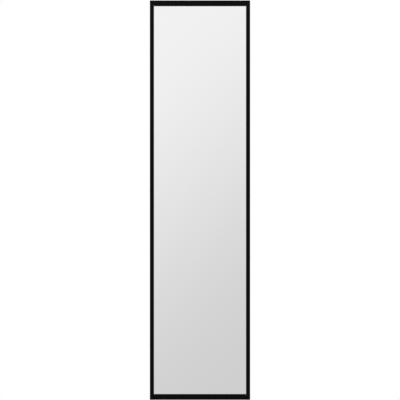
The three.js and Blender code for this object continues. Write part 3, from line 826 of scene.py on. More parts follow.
class PatternTree:
    """A Geometry Nodes tree with named inputs, run once on a host object."""

    def __init__(self, name: str) -> None:
        """Makes the tree with its geometry input and output.

        Args:
            name: The tree's name.
        """
        self.tree = bpy.data.node_groups.new(name, "GeometryNodeTree")
        for way in ("INPUT", "OUTPUT"):
            self.tree.interface.new_socket(
                "Geometry", in_out=way, socket_type="NodeSocketGeometry")
        self.entry = self.add("NodeGroupInput")
        self.identifiers: dict[str, str] = {}

    def add(self, kind: str, inputs: Inputs | None = None, **settings: object) -> Node:
        """Adds a node to the tree."""
        return add_node(self.tree, kind, inputs, **settings)

    def input(self, name: str, kind: InputKind = InputKind.NUMBER) -> Socket:
        """Adds a named input.

        Args:
            name: The input's name.
            kind: What it takes.

        Returns:
            The socket that gives its value.
        """
        socket = self.tree.interface.new_socket(name, in_out="INPUT", socket_type=kind.value)
        self.identifiers[name] = socket.identifier
        return self.entry.outputs[name]

    def reckon(self, operation: str, *numbers: object) -> Socket:
        """Works out a number from others and returns its socket."""
        return reckoned(self.tree, operation, *numbers)

    def vector(self, x: object = 0.0, y: object = 0.0, z: object = 0.0) -> Socket:
        """Makes a vector of three numbers and returns its socket."""
        return self.add("ShaderNodeCombineXYZ", {0: x, 1: y, 2: z}).outputs[0]

    def dot(self, vector: Socket, shares: Triple) -> Socket:
        """Adds up shares of a vector's three numbers and returns the socket of the sum."""
        node = self.add("ShaderNodeVectorMath", {0: vector, 1: shares}, operation="DOT_PRODUCT")
        return node.outputs["Value"]

    def less(self, body: Socket, tool: Socket) -> Socket:
        """Cuts a tool away from a body.

        Args:
            body: The socket of the body.
            tool: The socket of the tool.

        Returns:
            The socket of the rest.
        """
        return self.add(
            "GeometryNodeMeshBoolean", {"Mesh 1": body, "Mesh 2": tool},
            operation=Overlap.FIRST_ALONE.value, solver=SOLVER).outputs["Mesh"]

    def either(self, switch: Socket, on: Socket, off: Socket) -> Socket:
        """Chooses between two geometries by a switch and returns the socket of the choice."""
        inputs = {"Switch": switch, "True": on, "False": off}
        return self.add("GeometryNodeSwitch", inputs, input_type="GEOMETRY").outputs[0]

    def repeated(self, points: Socket, piece: Socket, **more: Socket) -> Socket:
        """Sets a piece on each point, with more inputs by name, and returns the socket."""
        inputs = {"Points": points, "Instance": piece, **more}
        return self.add("GeometryNodeInstanceOnPoints", inputs).outputs[0]

    def finish(self, geometry: Socket, material: Socket) -> None:
        """Ends the tree by realizing instances and setting the material.

        Args:
            geometry: The socket of the geometry.
            material: The socket of the material.
        """
        real = self.add("GeometryNodeRealizeInstances", {"Geometry": geometry}).outputs[0]
        painted = self.add("GeometryNodeSetMaterial", {"Geometry": real, "Material": material})
        self.add("NodeGroupOutput", {0: painted.outputs[0]})

    def run(self, host: Mesh, values: dict[str, object]) -> Mesh:
        """Runs the tree on a mesh.

        Args:
            host: The mesh that goes in.
            values: The value of each named input.

        Returns:
            The plain mesh that comes out.
        """
        thing = add_object("host", host)
        modifier = thing.modifiers.new("Pattern", "NODES")
        modifier.node_group = self.tree
        for name, value in values.items():
            modifier[self.identifiers[name]] = value
        result = evaluated_mesh(thing)
        thing.modifiers.remove(modifier)
        bpy.data.objects.remove(thing)
        return smoothed(result)


@dataclass(frozen=True)
class Fastener:
    """Sizes of one kind of turned screw or rivet."""

    head_radius: float
    head_height: float
    shank_radius: float
    shank_length: float
    tail_radius: float
    tail_height: float
    drive_radius: float = 0
    drive_depth: float = 0


# Each row of the profile takes shares of the radii of head, shank and tail, and
# of the lengths of shank, tail and head.
FASTENER_PROFILE_SHARES = (
    ((0, 0, 0), (-1, -1, 0)),
    ((0, 0, 0.9), (-1, -1, 0)),
    ((0, 0, 1), (-1, -0.75, 0)),
    ((0, 0, 1), (-1, 0, 0)),
    ((0, 1, 0), (-1, 0, 0)),
    ((0, 1, 0), (0, 0, 0)),
    ((0.97, 0, 0), (0, 0, 0)),
    ((1, 0, 0), (0, 0, 0.1)),
    ((1, 0, 0), (0, 0, 0.38)),
    ((0.95, 0, 0), (0, 0, 0.62)),
    ((0.82, 0, 0), (0, 0, 0.83)),
    ((0.6, 0, 0), (0, 0, 0.96)),
    ((0, 0, 0), (0, 0, 1)),
)


def input_name(size: str) -> str:
    """The name of a tree's input for one size of a fastener."""
    return size.replace("_", " ").title()


class FastenerTree(PatternTree):
    """Sets turned fasteners on the points of its host, each turned about its axis at random."""

    SEGMENTS = 40
    SEED = 12

    def __init__(self) -> None:
        """Builds the tree."""
        super().__init__("turned_fasteners")
        size = {item.name: self.input(input_name(item.name)) for item in fields(Fastener)}
        driven, seed = self.input("Driven", InputKind.SWITCH), self.input("Seed", InputKind.COUNT)
        material = self.input("Material", InputKind.FINISH)
        body = self.turned_body(
            self.vector(size["head_radius"], size["shank_radius"], size["tail_radius"]),
            self.vector(size["shank_length"], size["tail_height"], size["head_height"]))
        recess = self.add("GeometryNodeMeshCylinder", {
            "Vertices": HEX_SIDES,
            "Radius": size["drive_radius"],
            "Depth": self.reckon("MULTIPLY", size["drive_depth"], 2.0),
        }).outputs["Mesh"]
        raised = self.add("GeometryNodeTransform", {
            "Geometry": recess, "Translation": self.vector(z=size["head_height"]),
        }).outputs[0]
        one = self.either(driven, self.less(body, raised), body)
        aim = self.add(
            "GeometryNodeInputNamedAttribute", {"Name": "aim"}, data_type="FLOAT_VECTOR").outputs[0]
        aimed = self.add("FunctionNodeAlignRotationToVector", {"Vector": aim}, axis="Z").outputs[0]
        angle = self.add(
            "FunctionNodeRandomValue", {"Max": FULL_TURN, "Seed": seed}, data_type="FLOAT")
        random_turn = next(socket for socket in angle.outputs if socket.type == "VALUE")
        turn = self.add("FunctionNodeEulerToRotation", {0: self.vector(z=random_turn)}).outputs[0]
        rotation = self.add("FunctionNodeRotateRotation", {
            "Rotation": aimed, "Rotate By": turn,
        }, rotation_space="LOCAL").outputs[0]
        placed = self.repeated(self.entry.outputs["Geometry"], one, Rotation=rotation)
        self.finish(placed, material)

    def turned_body(self, radii: Socket, lengths: Socket) -> Socket:
        """Wraps a grid round the axis, its rows at the radii and levels of the profile.

        Args:
            radii: The vector of the radii of head, shank and tail.
            lengths: The vector of the lengths of shank, tail and head.

        Returns:
            The socket of the closed mesh.
        """
        # The grid spans half a unit to each side. Its X turns into the angle round the
        # axis, and its Y into the number of the row.
        rows = len(FASTENER_PROFILE_SHARES)
        grid = self.add("GeometryNodeMeshGrid", {
            "Size X": 1.0, "Size Y": 1.0, "Vertices X": self.SEGMENTS + 1, "Vertices Y": rows,
        }).outputs["Mesh"]
        place = self.add("GeometryNodeInputPosition").outputs[0]
        axes = self.add("ShaderNodeSeparateXYZ", {0: place}).outputs
        angle = self.reckon("MULTIPLY", axes["X"], FULL_TURN)
        share = self.reckon("ADD", axes["Y"], 0.5)
        row = self.reckon("ROUND", self.reckon("MULTIPLY", share, float(rows - 1)))
        radius, level = (
            self.chosen(row, [self.dot(sizes, shares) for shares in column])
            for sizes, column in zip((radii, lengths), zip(*FASTENER_PROFILE_SHARES)))
        x, y = (
            self.reckon("MULTIPLY", radius, self.reckon(way, angle)) for way in ("COSINE", "SINE"))
        wrapped = self.add("GeometryNodeSetPosition", {
            "Geometry": grid, "Position": self.vector(x, y, level),
        }).outputs[0]
        inputs = {"Geometry": wrapped, "Distance": WELD_DISTANCE}
        return self.add("GeometryNodeMergeByDistance", inputs).outputs[0]

    def chosen(self, number: Socket, choices: Sequence[Socket]) -> Socket:
        """Chooses among values.

        Args:
            number: The number of the value that is wanted.
            choices: The values.

        Returns:
            The socket of the chosen value.
        """
        switch = self.add("GeometryNodeIndexSwitch", data_type="FLOAT")
        for _ in range(len(choices) - len(switch.index_switch_items)):
            switch.index_switch_items.new()
        self.tree.links.new(number, switch.inputs["Index"])
        for place, choice in enumerate(choices, start=1):
            self.tree.links.new(choice, switch.inputs[place])
        return switch.outputs[0]

    def set_on(self, places: Sequence[Seat], kind: Fastener, finish: Finish) -> Mesh:
        """Makes the fasteners of one kind.

        Args:
            places: Each one's head seat, and the way that its head faces.
            kind: Their sizes.
            finish: Their finish.

        Returns:
            The mesh of them all.
        """
        host = bpy.data.meshes.new("fastener_places")
        host.from_pydata([tuple(seat) for seat, _ in places], [], [])
        aims = host.attributes.new("aim", "FLOAT_VECTOR", "POINT")
        for item, (_, aim) in zip(aims.data, places):
            item.vector = aim
        values: dict[str, object] = {
            input_name(size): length for size, length in asdict(kind).items()}
        values |= {"Driven": kind.drive_depth > 0, "Seed": self.SEED, "Material": finish.material()}
        return self.run(host, values)


class PunchTree(PatternTree):
    """Punches rows of round holes in its host, and sets a ball in each where it has a radius."""

    SEGMENTS = 32
    RINGS = 14
    REACH = 30 * MM

    def __init__(self) -> None:
        """Builds the tree."""
        super().__init__("punched_rows")
        first, step, row_step, turn = (
            self.input(name, InputKind.ARROW)
            for name in ("First Place", "Step", "Row Step", "Hole Turn"))
        count, rows = (self.input(name, InputKind.COUNT) for name in ("Count", "Rows"))
        hole_radius, reach, ball_radius = (
            self.input(name) for name in ("Hole Radius", "Hole Reach", "Ball Radius"))
        material = self.input("Material", InputKind.FINISH)
        row = self.add("GeometryNodeMeshLine", {"Count": count, "Offset": step}).outputs[0]
        starts = self.add("GeometryNodeMeshLine", {
            "Count": rows, "Start Location": first, "Offset": row_step,
        }).outputs[0]
        places = self.add(
            "GeometryNodeRealizeInstances", {"Geometry": self.repeated(starts, row)}).outputs[0]
        punch = self.add("GeometryNodeMeshCylinder", {
            "Vertices": self.SEGMENTS, "Radius": hole_radius, "Depth": reach,
        }).outputs["Mesh"]
        turned_punch = self.add(
            "GeometryNodeTransform", {"Geometry": punch, "Rotation": turn}).outputs[0]
        punched = self.less(self.entry.outputs["Geometry"], self.repeated(places, turned_punch))
        ball = self.add("GeometryNodeMeshUVSphere", {
            "Segments": self.SEGMENTS, "Rings": self.RINGS, "Radius": ball_radius,
        }).outputs["Mesh"]
        both = self.add("GeometryNodeJoinGeometry", {0: self.repeated(places, ball)})
        self.tree.links.new(punched, both.inputs[0])
        held = self.reckon("GREATER_THAN", ball_radius, 0.0)
        self.finish(self.either(held, both.outputs[0], punched), material)

    def punch(
        self,
        sheet: Mesh,
        corners: tuple[Vector, Vector],
        counts: tuple[int, int],
        radius: float,
        finish: Finish,
        through: Direction = Direction.OUTWARD,
        reach: float = REACH,
        ball: float = 0,
    ) -> Mesh:
        """Punches a sheet.

        Args:
            sheet: The mesh of the sheet.
            corners: The first hole of the first row, and the last hole of the last row.
            counts: The number of holes in a row, which runs along X, and the number of rows.
            radius: The radius of the holes.
            finish: The finish of the sheet.
            through: The way that the holes run.
            reach: The length of the punch.
            ball: The radius of the ball in each hole, zero for none.

        Returns:
            The mesh with its holes and balls.
        """
        span = corners[1] - corners[0]
        return self.run(sheet, {
            "First Place": corners[0],
            "Step": Vector((span.x / max(counts[0] - 1, 1), 0, 0)),
            "Row Step": Vector((0, span.y, span.z)) / max(counts[1] - 1, 1),
            "Count": counts[0],
            "Rows": counts[1],
            "Hole Turn": Vector(through.matrix(Vector()).to_euler()),
            "Hole Radius": radius,
            "Hole Reach": reach,
            "Ball Radius": ball,
            "Material": finish.material(),
        })


# Sub-assemblies


def middle_of(node: str) -> Vector:
    """The middle of a node's box."""
    low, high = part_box(node)
    return (low + high) / 2


def screw_place(node: str, kind: Fastener, aim: Triple) -> Seat:
    """Where a packed screw or rivet sits.

    Args:
        node: The node of the screw.
        kind: Its sizes.
        aim: The way that its head faces, along an axis.

    Returns:
        The middle of the seat under its head, and the way that the head faces.
    """
    low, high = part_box(node)
    way = Vector(aim)
    reach = way.dot((high - low) / 2)
    return (low + high) / 2 + way * (abs(reach) - kind.head_height), way


def post_axis() -> Point:
    """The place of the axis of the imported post, seen from above."""
    return tuple(middle_of("pivot_post").xy)


class SubAssembly(ABC):
    """A sub-assembly of the mirror, most of whose pieces ride on one body."""

    BODY: ClassVar[str]

    @abstractmethod
    def build(self) -> None:
        """Builds all its pieces."""

    def add(
        self, name: str, mesh: Mesh, finish: Finish, *nodes: str, body: str | None = None
    ) -> bpy.types.Object:
        """Puts a finished mesh in the scene in place of its nodes.

        Args:
            name: The piece's name.
            mesh: Its mesh, already in place.
            finish: Its main finish.
            *nodes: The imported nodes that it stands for.
            body: The body that it rides on, if it isn't the sub-assembly's own.

        Returns:
            The piece.
        """
        mesh.name = name
        # Cutting and joining leave an empty material slot, which the faces may point to.
        mesh.polygons.foreach_set("material_index", [0] * len(mesh.polygons))
        mesh.materials.clear()
        mesh.materials.append(finish.material())
        piece = add_object(name, mesh)
        normals = piece.modifiers.new("Flat faces stay flat", "WEIGHTED_NORMAL")
        normals.keep_sharp = True
        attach(piece, body or self.BODY)
        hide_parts(*nodes)
        LOG.info("%s: %d faces for %s", name, len(mesh.polygons), ", ".join(nodes))
        return piece


@dataclass
class FastenedAssembly(SubAssembly):
    """A sub-assembly that screws or rivets hold together."""

    fasteners: FastenerTree

    def fasten(self, name: str, kind: Fastener, finish: Finish, aims: dict[str, Triple]) -> None:
        """Adds the fasteners of one kind in one piece.

        Args:
            name: The piece's name.
            kind: Their sizes.
            finish: Their finish.
            aims: The way that the head of each node faces.
        """
        places = [screw_place(node, kind, aim) for node, aim in aims.items()]
        self.add(name, self.fasteners.set_on(places, kind, finish), finish, *aims)


@dataclass
class Glazing(SubAssembly):
    """The mirror glass in its rubber blocks, and the backing board behind it.

    A face of the glass is silvered where it looks outwards by more than the silver aim.
    """

    BODY = "mirror_panel"

    arris: float = 0.35 * MM
    board_arris: float = 0.5 * MM
    block_corner: float = 0.5 * MM
    silver_aim: float = 0.99

    def build(self) -> None:
        """Builds the glass, silvered where it faces the room, the board and the blocks."""
        glass = self.add(
            "glass_sheet", flat_piece("mirror_glass", self.arris, self.arris), SILVER,
            "mirror_glass")
        glass.data.materials.append(GLASS_EDGE.material())
        for face in glass.data.polygons:
            face.material_index = 0 if -face.normal.y > self.silver_aim else 1
        board = flat_piece("backing_board", self.board_arris, self.board_arris)
        self.add("foil_backed_board", board, BOARD, "backing_board")
        for edge in Edge:
            node = f"setting_block_{edge.word}"
            block = flat_piece(node, self.block_corner, self.block_corner)
            self.add(f"{node}_rubber", block, RUBBER, node)


@dataclass
class MirrorFrame(FastenedAssembly):
    """Two full-height stiles with end caps, and two rails screwed between them."""

    BODY = "mirror_panel"

    corner_screw: Fastener = Fastener(
        head_radius=3.3 * MM, head_height=2.2 * MM, shank_radius=1.5 * MM,
        shank_length=24.5 * MM, tail_radius=1.5 * MM, tail_height=1.5 * MM,
        drive_radius=1.4 * MM, drive_depth=1.3 * MM)
    stile_face: float = 12.5 * MM
    rail_face: float = 17.4 * MM
    wall: float = 1.6 * MM
    lip: float = 2 * MM
    groove: float = 6 * MM
    outer_radius: float = 0.8 * MM
    lip_radius: float = 0.35 * MM
    inner_radius: float = 0.25 * MM
    cut_edge: float = 0.1 * MM
    gap: float = 0.3 * MM
    cap: float = 1 * MM
    prong: float = 1.5 * MM
    access_radius: float = 3.8 * MM
    shank_hole: float = 1.8 * MM
    strap_hole: float = 2 * MM
    port_bite: float = 0.6 * MM
    front: float = field(init=False)
    back: float = field(init=False)
    half_width: float = field(init=False)
    half_height: float = field(init=False)

    def __post_init__(self) -> None:
        """Takes the outer size of the frame from its packed stiles and caps."""
        low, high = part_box("stile_front")
        self.front, self.back, self.half_width = low.y, high.y, high.x
        self.half_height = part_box("stile_cap_front_top")[1].z

    def build(self) -> None:
        """Builds the stiles, rails, caps and corner screws."""
        for edge in Edge:
            stile = f"stile_{edge.word}"
            self.add(f"{stile}_section", self.stile(edge), FRAME_COAT, stile)
            for end in End:
                node = f"stile_cap_{edge.word}_{end.word}"
                self.add(f"{node}_moulding", self.end_cap(node, edge, end), CAP_NYLON, node)
        for end in End:
            rail = f"rail_{end.word}"
            self.add(f"{rail}_section", self.rail(end), FRAME_COAT, rail)
        self.fasten("corner_screws", self.corner_screw, SCREW, {
            f"corner_screw_{edge.word}_{end.word}": (edge.side, 0, 0)
            for edge in Edge for end in End
        })

    def section(self, side: int, half: float, face: float) -> Outline:
        """Outline of a frame member.

        Args:
            side: The side of the mirror that it stands on, plus or minus one.
            half: The distance of its outer edge from the middle.
            face: The width of its front face.

        Returns:
            Points of width and depth, with every corner eased.
        """
        edge, ease = side * half, self.inner_radius
        lip, floor = edge - side * face, edge - side * (face - self.groove)
        return rounded([
            (edge, self.front, self.outer_radius),
            (lip, self.front, self.lip_radius),
            (lip, self.front + self.lip, self.lip_radius),
            (floor, self.front + self.lip, ease),
            (floor, self.back - self.lip, ease),
            (lip, self.back - self.lip, self.lip_radius),
            (lip, self.back, self.lip_radius),
            (edge, self.back, self.lip_radius),
        ], RIM_STEPS)

    def hollow(self, side: int, half: float, face: float) -> Outline:
        """Outline of the chamber between the outer wall and the floor of the groove.

        Args:
            side: The side of the mirror that the member stands on, plus or minus one.
            half: The distance of its outer edge from the middle.
            face: The width of its front face.

        Returns:
            Points of width and depth.
        """
        low, high = sorted(
            side * half - side * inset for inset in (self.wall, face - self.groove - self.wall))
        corners = ((low, self.front + self.lip), (high, self.back - self.lip))
        return rectangle(*corners, self.inner_radius)

    def stile(self, edge: Edge) -> Mesh:
        """Makes one stile, drilled for its corner screws and its strap screws.

        Args:
            edge: The edge that it stands on.

        Returns:
            The closed mesh.
        """
        low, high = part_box(f"stile_{edge.word}")
        member = (edge.side, self.half_width, self.stile_face)
        bar = draw_out(
            Direction.UP, self.section(*member), low.z, high.z, [self.hollow(*member)],
            self.cut_edge)
        middle = (self.front + self.back) / 2
        outside, wall_end, groove_end = (
            edge.side * (self.half_width - inset)
            for inset in (-CUT_OVERRUN, self.wall + self.gap, self.stile_face))
        tools = []
        for end in End:
            level = middle_of(f"corner_screw_{edge.word}_{end.word}").z
            for radius, reach in ((self.access_radius, wall_end), (self.shank_hole, groove_end)):
                tools.append(rod(Direction.FORWARD, (middle, level), radius, (outside, reach)))
        for storey in Storey:
            screw = middle_of(f"strap_screw_{storey.word}_{edge.word}")
            ends = (-self.back - CUT_OVERRUN, -self.back + self.lip + self.gap)
            tools.append(rod(Direction.OUTWARD, (screw.x, screw.z), self.strap_hole, ends))
        return cut(bar, tools)

    def end_cap(self, node: str, edge: Edge, end: End) -> Mesh:
        """Makes one end cap: its cover and the two prongs that spring into the stile.

        Args:
            node: The cap's node.
            edge: The edge that it stands on.
            end: The end that it closes.

        Returns:
            The closed mesh.
        """
        low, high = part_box(node)
        tip, foot = (high.z, low.z) if end is End.TOP else (low.z, high.z)
        seat = tip - end.side * self.cap
        outline = self.section(edge.side, self.half_width, self.stile_face)
        cover = draw_out(Direction.UP, outline, *sorted((tip, seat)), rim=self.inner_radius)
        insets = (self.wall + self.gap, self.stile_face - self.groove - self.wall - self.gap)
        left, right = sorted(edge.side * self.half_width - edge.side * inset for inset in insets)
        levels = sorted((foot, seat + end.side * self.cap / 2))
        front, back = self.front + self.lip + self.gap, self.back - self.lip - self.gap
        prongs = [
            draw_out(
                Direction.UP, rectangle((left, near), (right, far), self.inner_radius), *levels,
                rim=self.inner_radius)
            for near, far in ((front, front + self.prong), (back - self.prong, back))
        ]
        return joined(cover, prongs)

    def rail(self, end: End) -> Mesh:
        """Makes one rail with its screw port, its lips notched back from the stiles.

        Args:
            end: The end of the frame that it closes.

        Returns:
            The closed mesh.
        """
        low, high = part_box(f"rail_{end.word}")
        member = (end.side, self.half_height, self.rail_face)
        outline, chamber = (
            [(b, a) for a, b in loop] for loop in (self.section(*member), self.hollow(*member)))
        bar = draw_out(Direction.FORWARD, outline, low.x, high.x, [chamber])
        port_level = end.side * self.half_height - end.side * (self.rail_face - self.groove) / 2
        axis = ((self.front + self.back) / 2, port_level)
        port_radius = (self.rail_face - self.groove) / 2 - self.wall + self.port_bite
        port = rod(Direction.FORWARD, axis, port_radius, (low.x, high.x))
        through = (low.x - CUT_OVERRUN, high.x + CUT_OVERRUN)
        bore = rod(Direction.FORWARD, axis, self.shank_hole, through)
        shoulder = self.half_width - self.stile_face - self.gap
        bottom, top = low.z - CUT_OVERRUN, high.z + CUT_OVERRUN
        depths = (
            (self.front - CUT_OVERRUN, self.front + self.lip + self.gap),
            (self.back - self.lip - self.gap, self.back + CUT_OVERRUN),
        )
        notches = []
        for hand in (-1, 1):
            near, far = sorted((hand * shoulder, hand * (self.half_width + CUT_OVERRUN)))
            notch = rectangle((near, bottom), (far, top))
            notches += [draw_out(Direction.OUTWARD, notch, -stop, -start) for start, stop in depths]
        return cut(joined(bar, [port]), [bore, *notches])


@dataclass(frozen=True)
class SpotWelds:
    """Shallow round marks of the welds between the strip and an outer slide member."""

    level: float = 400 * MM
    half_length: float = 30 * MM
    half_height: float = 10 * MM
    radius: float = 3 * MM
    depth: float = 0.35 * MM
    counts: tuple[int, int] = (3, 2)

    def mark(
        self, punches: PunchTree, sheet: Mesh, face: float, level: float, finish: Finish
    ) -> Mesh:
        """Marks a sheet.

        Args:
            punches: The tree that presses the marks.
            sheet: The mesh of the sheet.
            face: The place of its marked face along Y.
            level: The height of the middle of the marks.
            finish: The finish of the sheet.

        Returns:
            The marked mesh.
        """
        corner = Vector((self.half_length, 0, self.half_height))
        centre = Vector((0, face, level))
        return punches.punch(
            sheet, (centre - corner, centre + corner), self.counts, self.radius, finish,
            reach=2 * self.depth)


@dataclass
class MountingStrip(SubAssembly):
    """The strip that is screwed to the closet side, its long edges folded forward."""

    BODY = "closet_side"

    punches: PunchTree
    sheet: float = 2 * MM
    bend: float = 1.5 * MM
    corner: float = 6 * MM
    flange_half: float = 371.5 * MM
    rim: float = 0.25 * MM
    hole_radius: float = 2.75 * MM
    hole_inset: float = 14 * MM
    hole_level: float = 344 * MM
    hole_counts: tuple[int, int] = (2, 3)
    weld: SpotWelds = SpotWelds()

    def build(self) -> None:
        """Builds the strip with its six holes and its weld marks."""
        low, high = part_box("mounting_strip")
        side = high.x - self.bend - self.sheet
        plate = draw_out(
            Direction.OUTWARD, rectangle((-side, low.z), (side, high.z), self.corner), 0,
            self.sheet, rim=self.rim)
        edge, middle = high.x - self.sheet / 2, -self.sheet / 2
        path = [(-edge, low.y), (-edge, middle), (edge, middle), (edge, low.y)]
        fold = draw_out(
            Direction.UP, folded(path, self.sheet, (self.bend, self.bend)), -self.flange_half,
            self.flange_half, rim=self.rim)
        corner = Vector((high.x - self.hole_inset, 0, self.hole_level))
        strip = self.punches.punch(
            joined(plate, [fold]), (-corner, corner), self.hole_counts, self.hole_radius,
            ZINC_STRIP)
        for level in (-self.weld.level, self.weld.level):
            strip = self.weld.mark(self.punches, strip, high.y, level, ZINC_STRIP)
        self.add("folded_mounting_strip", strip, ZINC_STRIP, "mounting_strip")


@dataclass(frozen=True)
class Channel:
    """Section of a slide member, its depths counted outwards from the back of the slide.

    Its lips are rolled round the balls, to grooves of the radius given.
    """

    web: float
    lip: float
    reach: float
    lip_reach: float
    groove: float

    def outline(self, back: float, level: float, sheet: float, bend: float) -> Outline:
        """Outline of the folded sheet.

        Args:
            back: The place of the back of the slide along Y.
            level: The height of its middle.
            sheet: The thickness of the sheet.
            bend: The inner radius of the bends beside the web.

        Returns:
            Points of depth and height.
        """
        web, lip, reach = back - self.web, back - self.lip, self.reach - sheet / 2
        half = [(lip, self.lip_reach), (lip, reach), (web, reach)]
        path = half + [(depth, -height) for depth, height in reversed(half)]
        bends = (self.groove, bend, bend, self.groove)
        return folded([(depth, level + height) for depth, height in path], sheet, bends)


@dataclass(frozen=True)
class Cage:
    """Sizes of a ball cage, its depths counted as those of the members."""

    web: float
    ball_depth: float
    ball_level: float


@dataclass
class TelescopicSlide(SubAssembly):
    """A full-extension slide: three folded members, two cages of balls and a rear buffer."""

    BODY = "closet_side"

    storey: Storey
    punches: PunchTree
    outer: Channel = Channel(
        web=0.6 * MM, lip=9 * MM, reach=22.5 * MM, lip_reach=18 * MM, groove=2.3 * MM)
    middle: Channel = Channel(
        web=3 * MM, lip=11.2 * MM, reach=16.7 * MM, lip_reach=12.2 * MM, groove=2.3 * MM)
    inner: Channel = Channel(
        web=12.1 * MM, lip=5.4 * MM, reach=10.9 * MM, lip_reach=12.6 * MM, groove=1.4 * MM)
    outer_cage: Cage = Cage(web=1.8 * MM, ball_depth=6.1 * MM, ball_level=19 * MM)
    inner_cage: Cage = Cage(web=4.2 * MM, ball_depth=8.3 * MM, ball_level=13.2 * MM)
    sheet: float = 1.2 * MM
    bend: float = 0.8 * MM
    cut_edge: float = 0.15 * MM
    web_hole: float = 2.4 * MM
    web_hole_ends: Range = (78 * MM, 120 * MM)
    rivet_hole: float = 2.3 * MM
    cage_sheet: float = 0.6 * MM
    cage_bend: float = 0.4 * MM
    cage_cut_edge: float = 0.08 * MM
    cage_punch: float = 1.8 * MM
    ball_radius: float = 2 * MM
    ball_bite: float = 0.06 * MM
    balls_in_row: int = 6
    ball_rows: int = 2
    row_margin: float = 6 * MM
    buffer_corner: float = 2 * MM
    buffer_groove: float = 1.6 * MM
    buffer_grooves: int = 5
    weld: SpotWelds = SpotWelds()
    back: float = field(init=False)
    level: float = field(init=False)

    def __post_init__(self) -> None:
        """Takes the place of the slide from its packed outer member."""
        low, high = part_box(f"outer_member_{self.storey.word}")
        self.back, self.level = high.y, (low.z + high.z) / 2

    def build(self) -> None:
        """Builds the members from the outer to the inner one, the cages and the buffer."""
        near, far = self.web_hole_ends
        pairs = [((-far, -near), self.web_hole), ((near, far), self.web_hole)]
        self.member(Rank.OUTER, self.outer, pairs, "closet_side")
        self.member(Rank.MIDDLE, self.middle, pairs, "middle_members")
        rivets = [[middle_of(f"bracket_rivet_{self.storey.word}_{n}").x for n in (1, 2)]]
        if self.storey is Storey.UPPER:
            rivets.append([middle_of("catch_rivet").x])
        rows = [(places, self.rivet_hole) for places in rivets]
        self.member(Rank.INNER, self.inner, rows, "carriage")
        self.ball_cage(Rank.OUTER, self.outer_cage)
        self.ball_cage(Rank.INNER, self.inner_cage)
        self.buffer()

    def member(
        self, rank: Rank, channel: Channel, rows: Sequence[tuple[Sequence[float], float]], body: str
    ) -> None:
        """Makes one member.

        Args:
            rank: Its place in the slide.
            channel: Its section.
            rows: The places and the radius of each row of one or two holes through its web.
            body: The body that it rides on.
        """
        node = f"{rank.value}_member_{self.storey.word}"
        low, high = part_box(node)
        outline = channel.outline(self.back, self.level, self.sheet, self.bend)
        bar = draw_out(Direction.FORWARD, outline, low.x, high.x, rim=self.cut_edge)
        for places, radius in rows:
            corners = tuple(Vector((x, self.back, self.level)) for x in (places[0], places[-1]))
            bar = self.punches.punch(bar, corners, (len(places), 1), radius, ZINC)
        if rank is Rank.OUTER:
            bar = self.weld.mark(self.punches, bar, self.back - self.sheet, self.level, ZINC)
        self.add(f"{node}_channel", bar, ZINC, node, body=body)

    def ball_cage(self, rank: Rank, cage: Cage) -> None:
        """Makes one cage with its balls, its arms reaching a little past their middle.

        Args:
            rank: Its place in the slide.
            cage: Its sizes.
        """
        node = f"{rank.value}_ball_cage_{self.storey.word}"
        low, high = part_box(node)
        web, edge = self.back - cage.web, self.back - cage.ball_depth - self.ball_radius / 2
        half = [(edge, cage.ball_level), (web, cage.ball_level)]
        path = half + [(depth, -height) for depth, height in reversed(half)]
        bends = (self.cage_bend, self.cage_bend)
        outline = folded([(y, self.level + z) for y, z in path], self.cage_sheet, bends)
        sheet = draw_out(Direction.FORWARD, outline, low.x, high.x, rim=self.cage_cut_edge)
        half_row = (high.x - low.x) / 2 - self.row_margin
        corner = Vector((half_row, 0, cage.ball_level))
        centre = Vector(((low.x + high.x) / 2, self.back - cage.ball_depth, self.level))
        made = self.punches.punch(
            sheet, (centre - corner, centre + corner), (self.balls_in_row, self.ball_rows),
            self.ball_radius - self.ball_bite, BALL, Direction.UP, self.cage_punch,
            self.ball_radius)
        self.add(f"{node}_with_balls", made, BALL, node, body=f"{rank.value}_cages")

    def buffer(self) -> None:
        """Makes the rubber buffer, grooved across so that it gives."""
        node = f"slide_buffer_{self.storey.word}"
        low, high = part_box(node)
        outline = rectangle((low.y, low.z), (high.y, high.z), self.buffer_corner)
        pad = draw_out(Direction.FORWARD, outline, low.x, high.x, rim=self.buffer_corner / 2)
        pitch = (high.z - low.z) / (self.buffer_grooves + 1)
        half = self.buffer_groove / 2
        front, back = low.y - CUT_OVERRUN, high.y + CUT_OVERRUN
        tools = merged(
            draw_out(
                Direction.FORWARD, rectangle((front, level - half), (back, level + half), half / 2),
                high.x - self.buffer_groove, high.x + CUT_OVERRUN)
            for level in (low.z + pitch * (n + 1) for n in range(self.buffer_grooves)))
        self.add(f"{node}_rubber", cut(pad, [tools]), RUBBER, node)


RIVET = Fastener(
    head_radius=3.8 * MM, head_height=1.4 * MM, shank_radius=2 * MM, shank_length=4.6 * MM,
    tail_radius=3 * MM, tail_height=1 * MM)


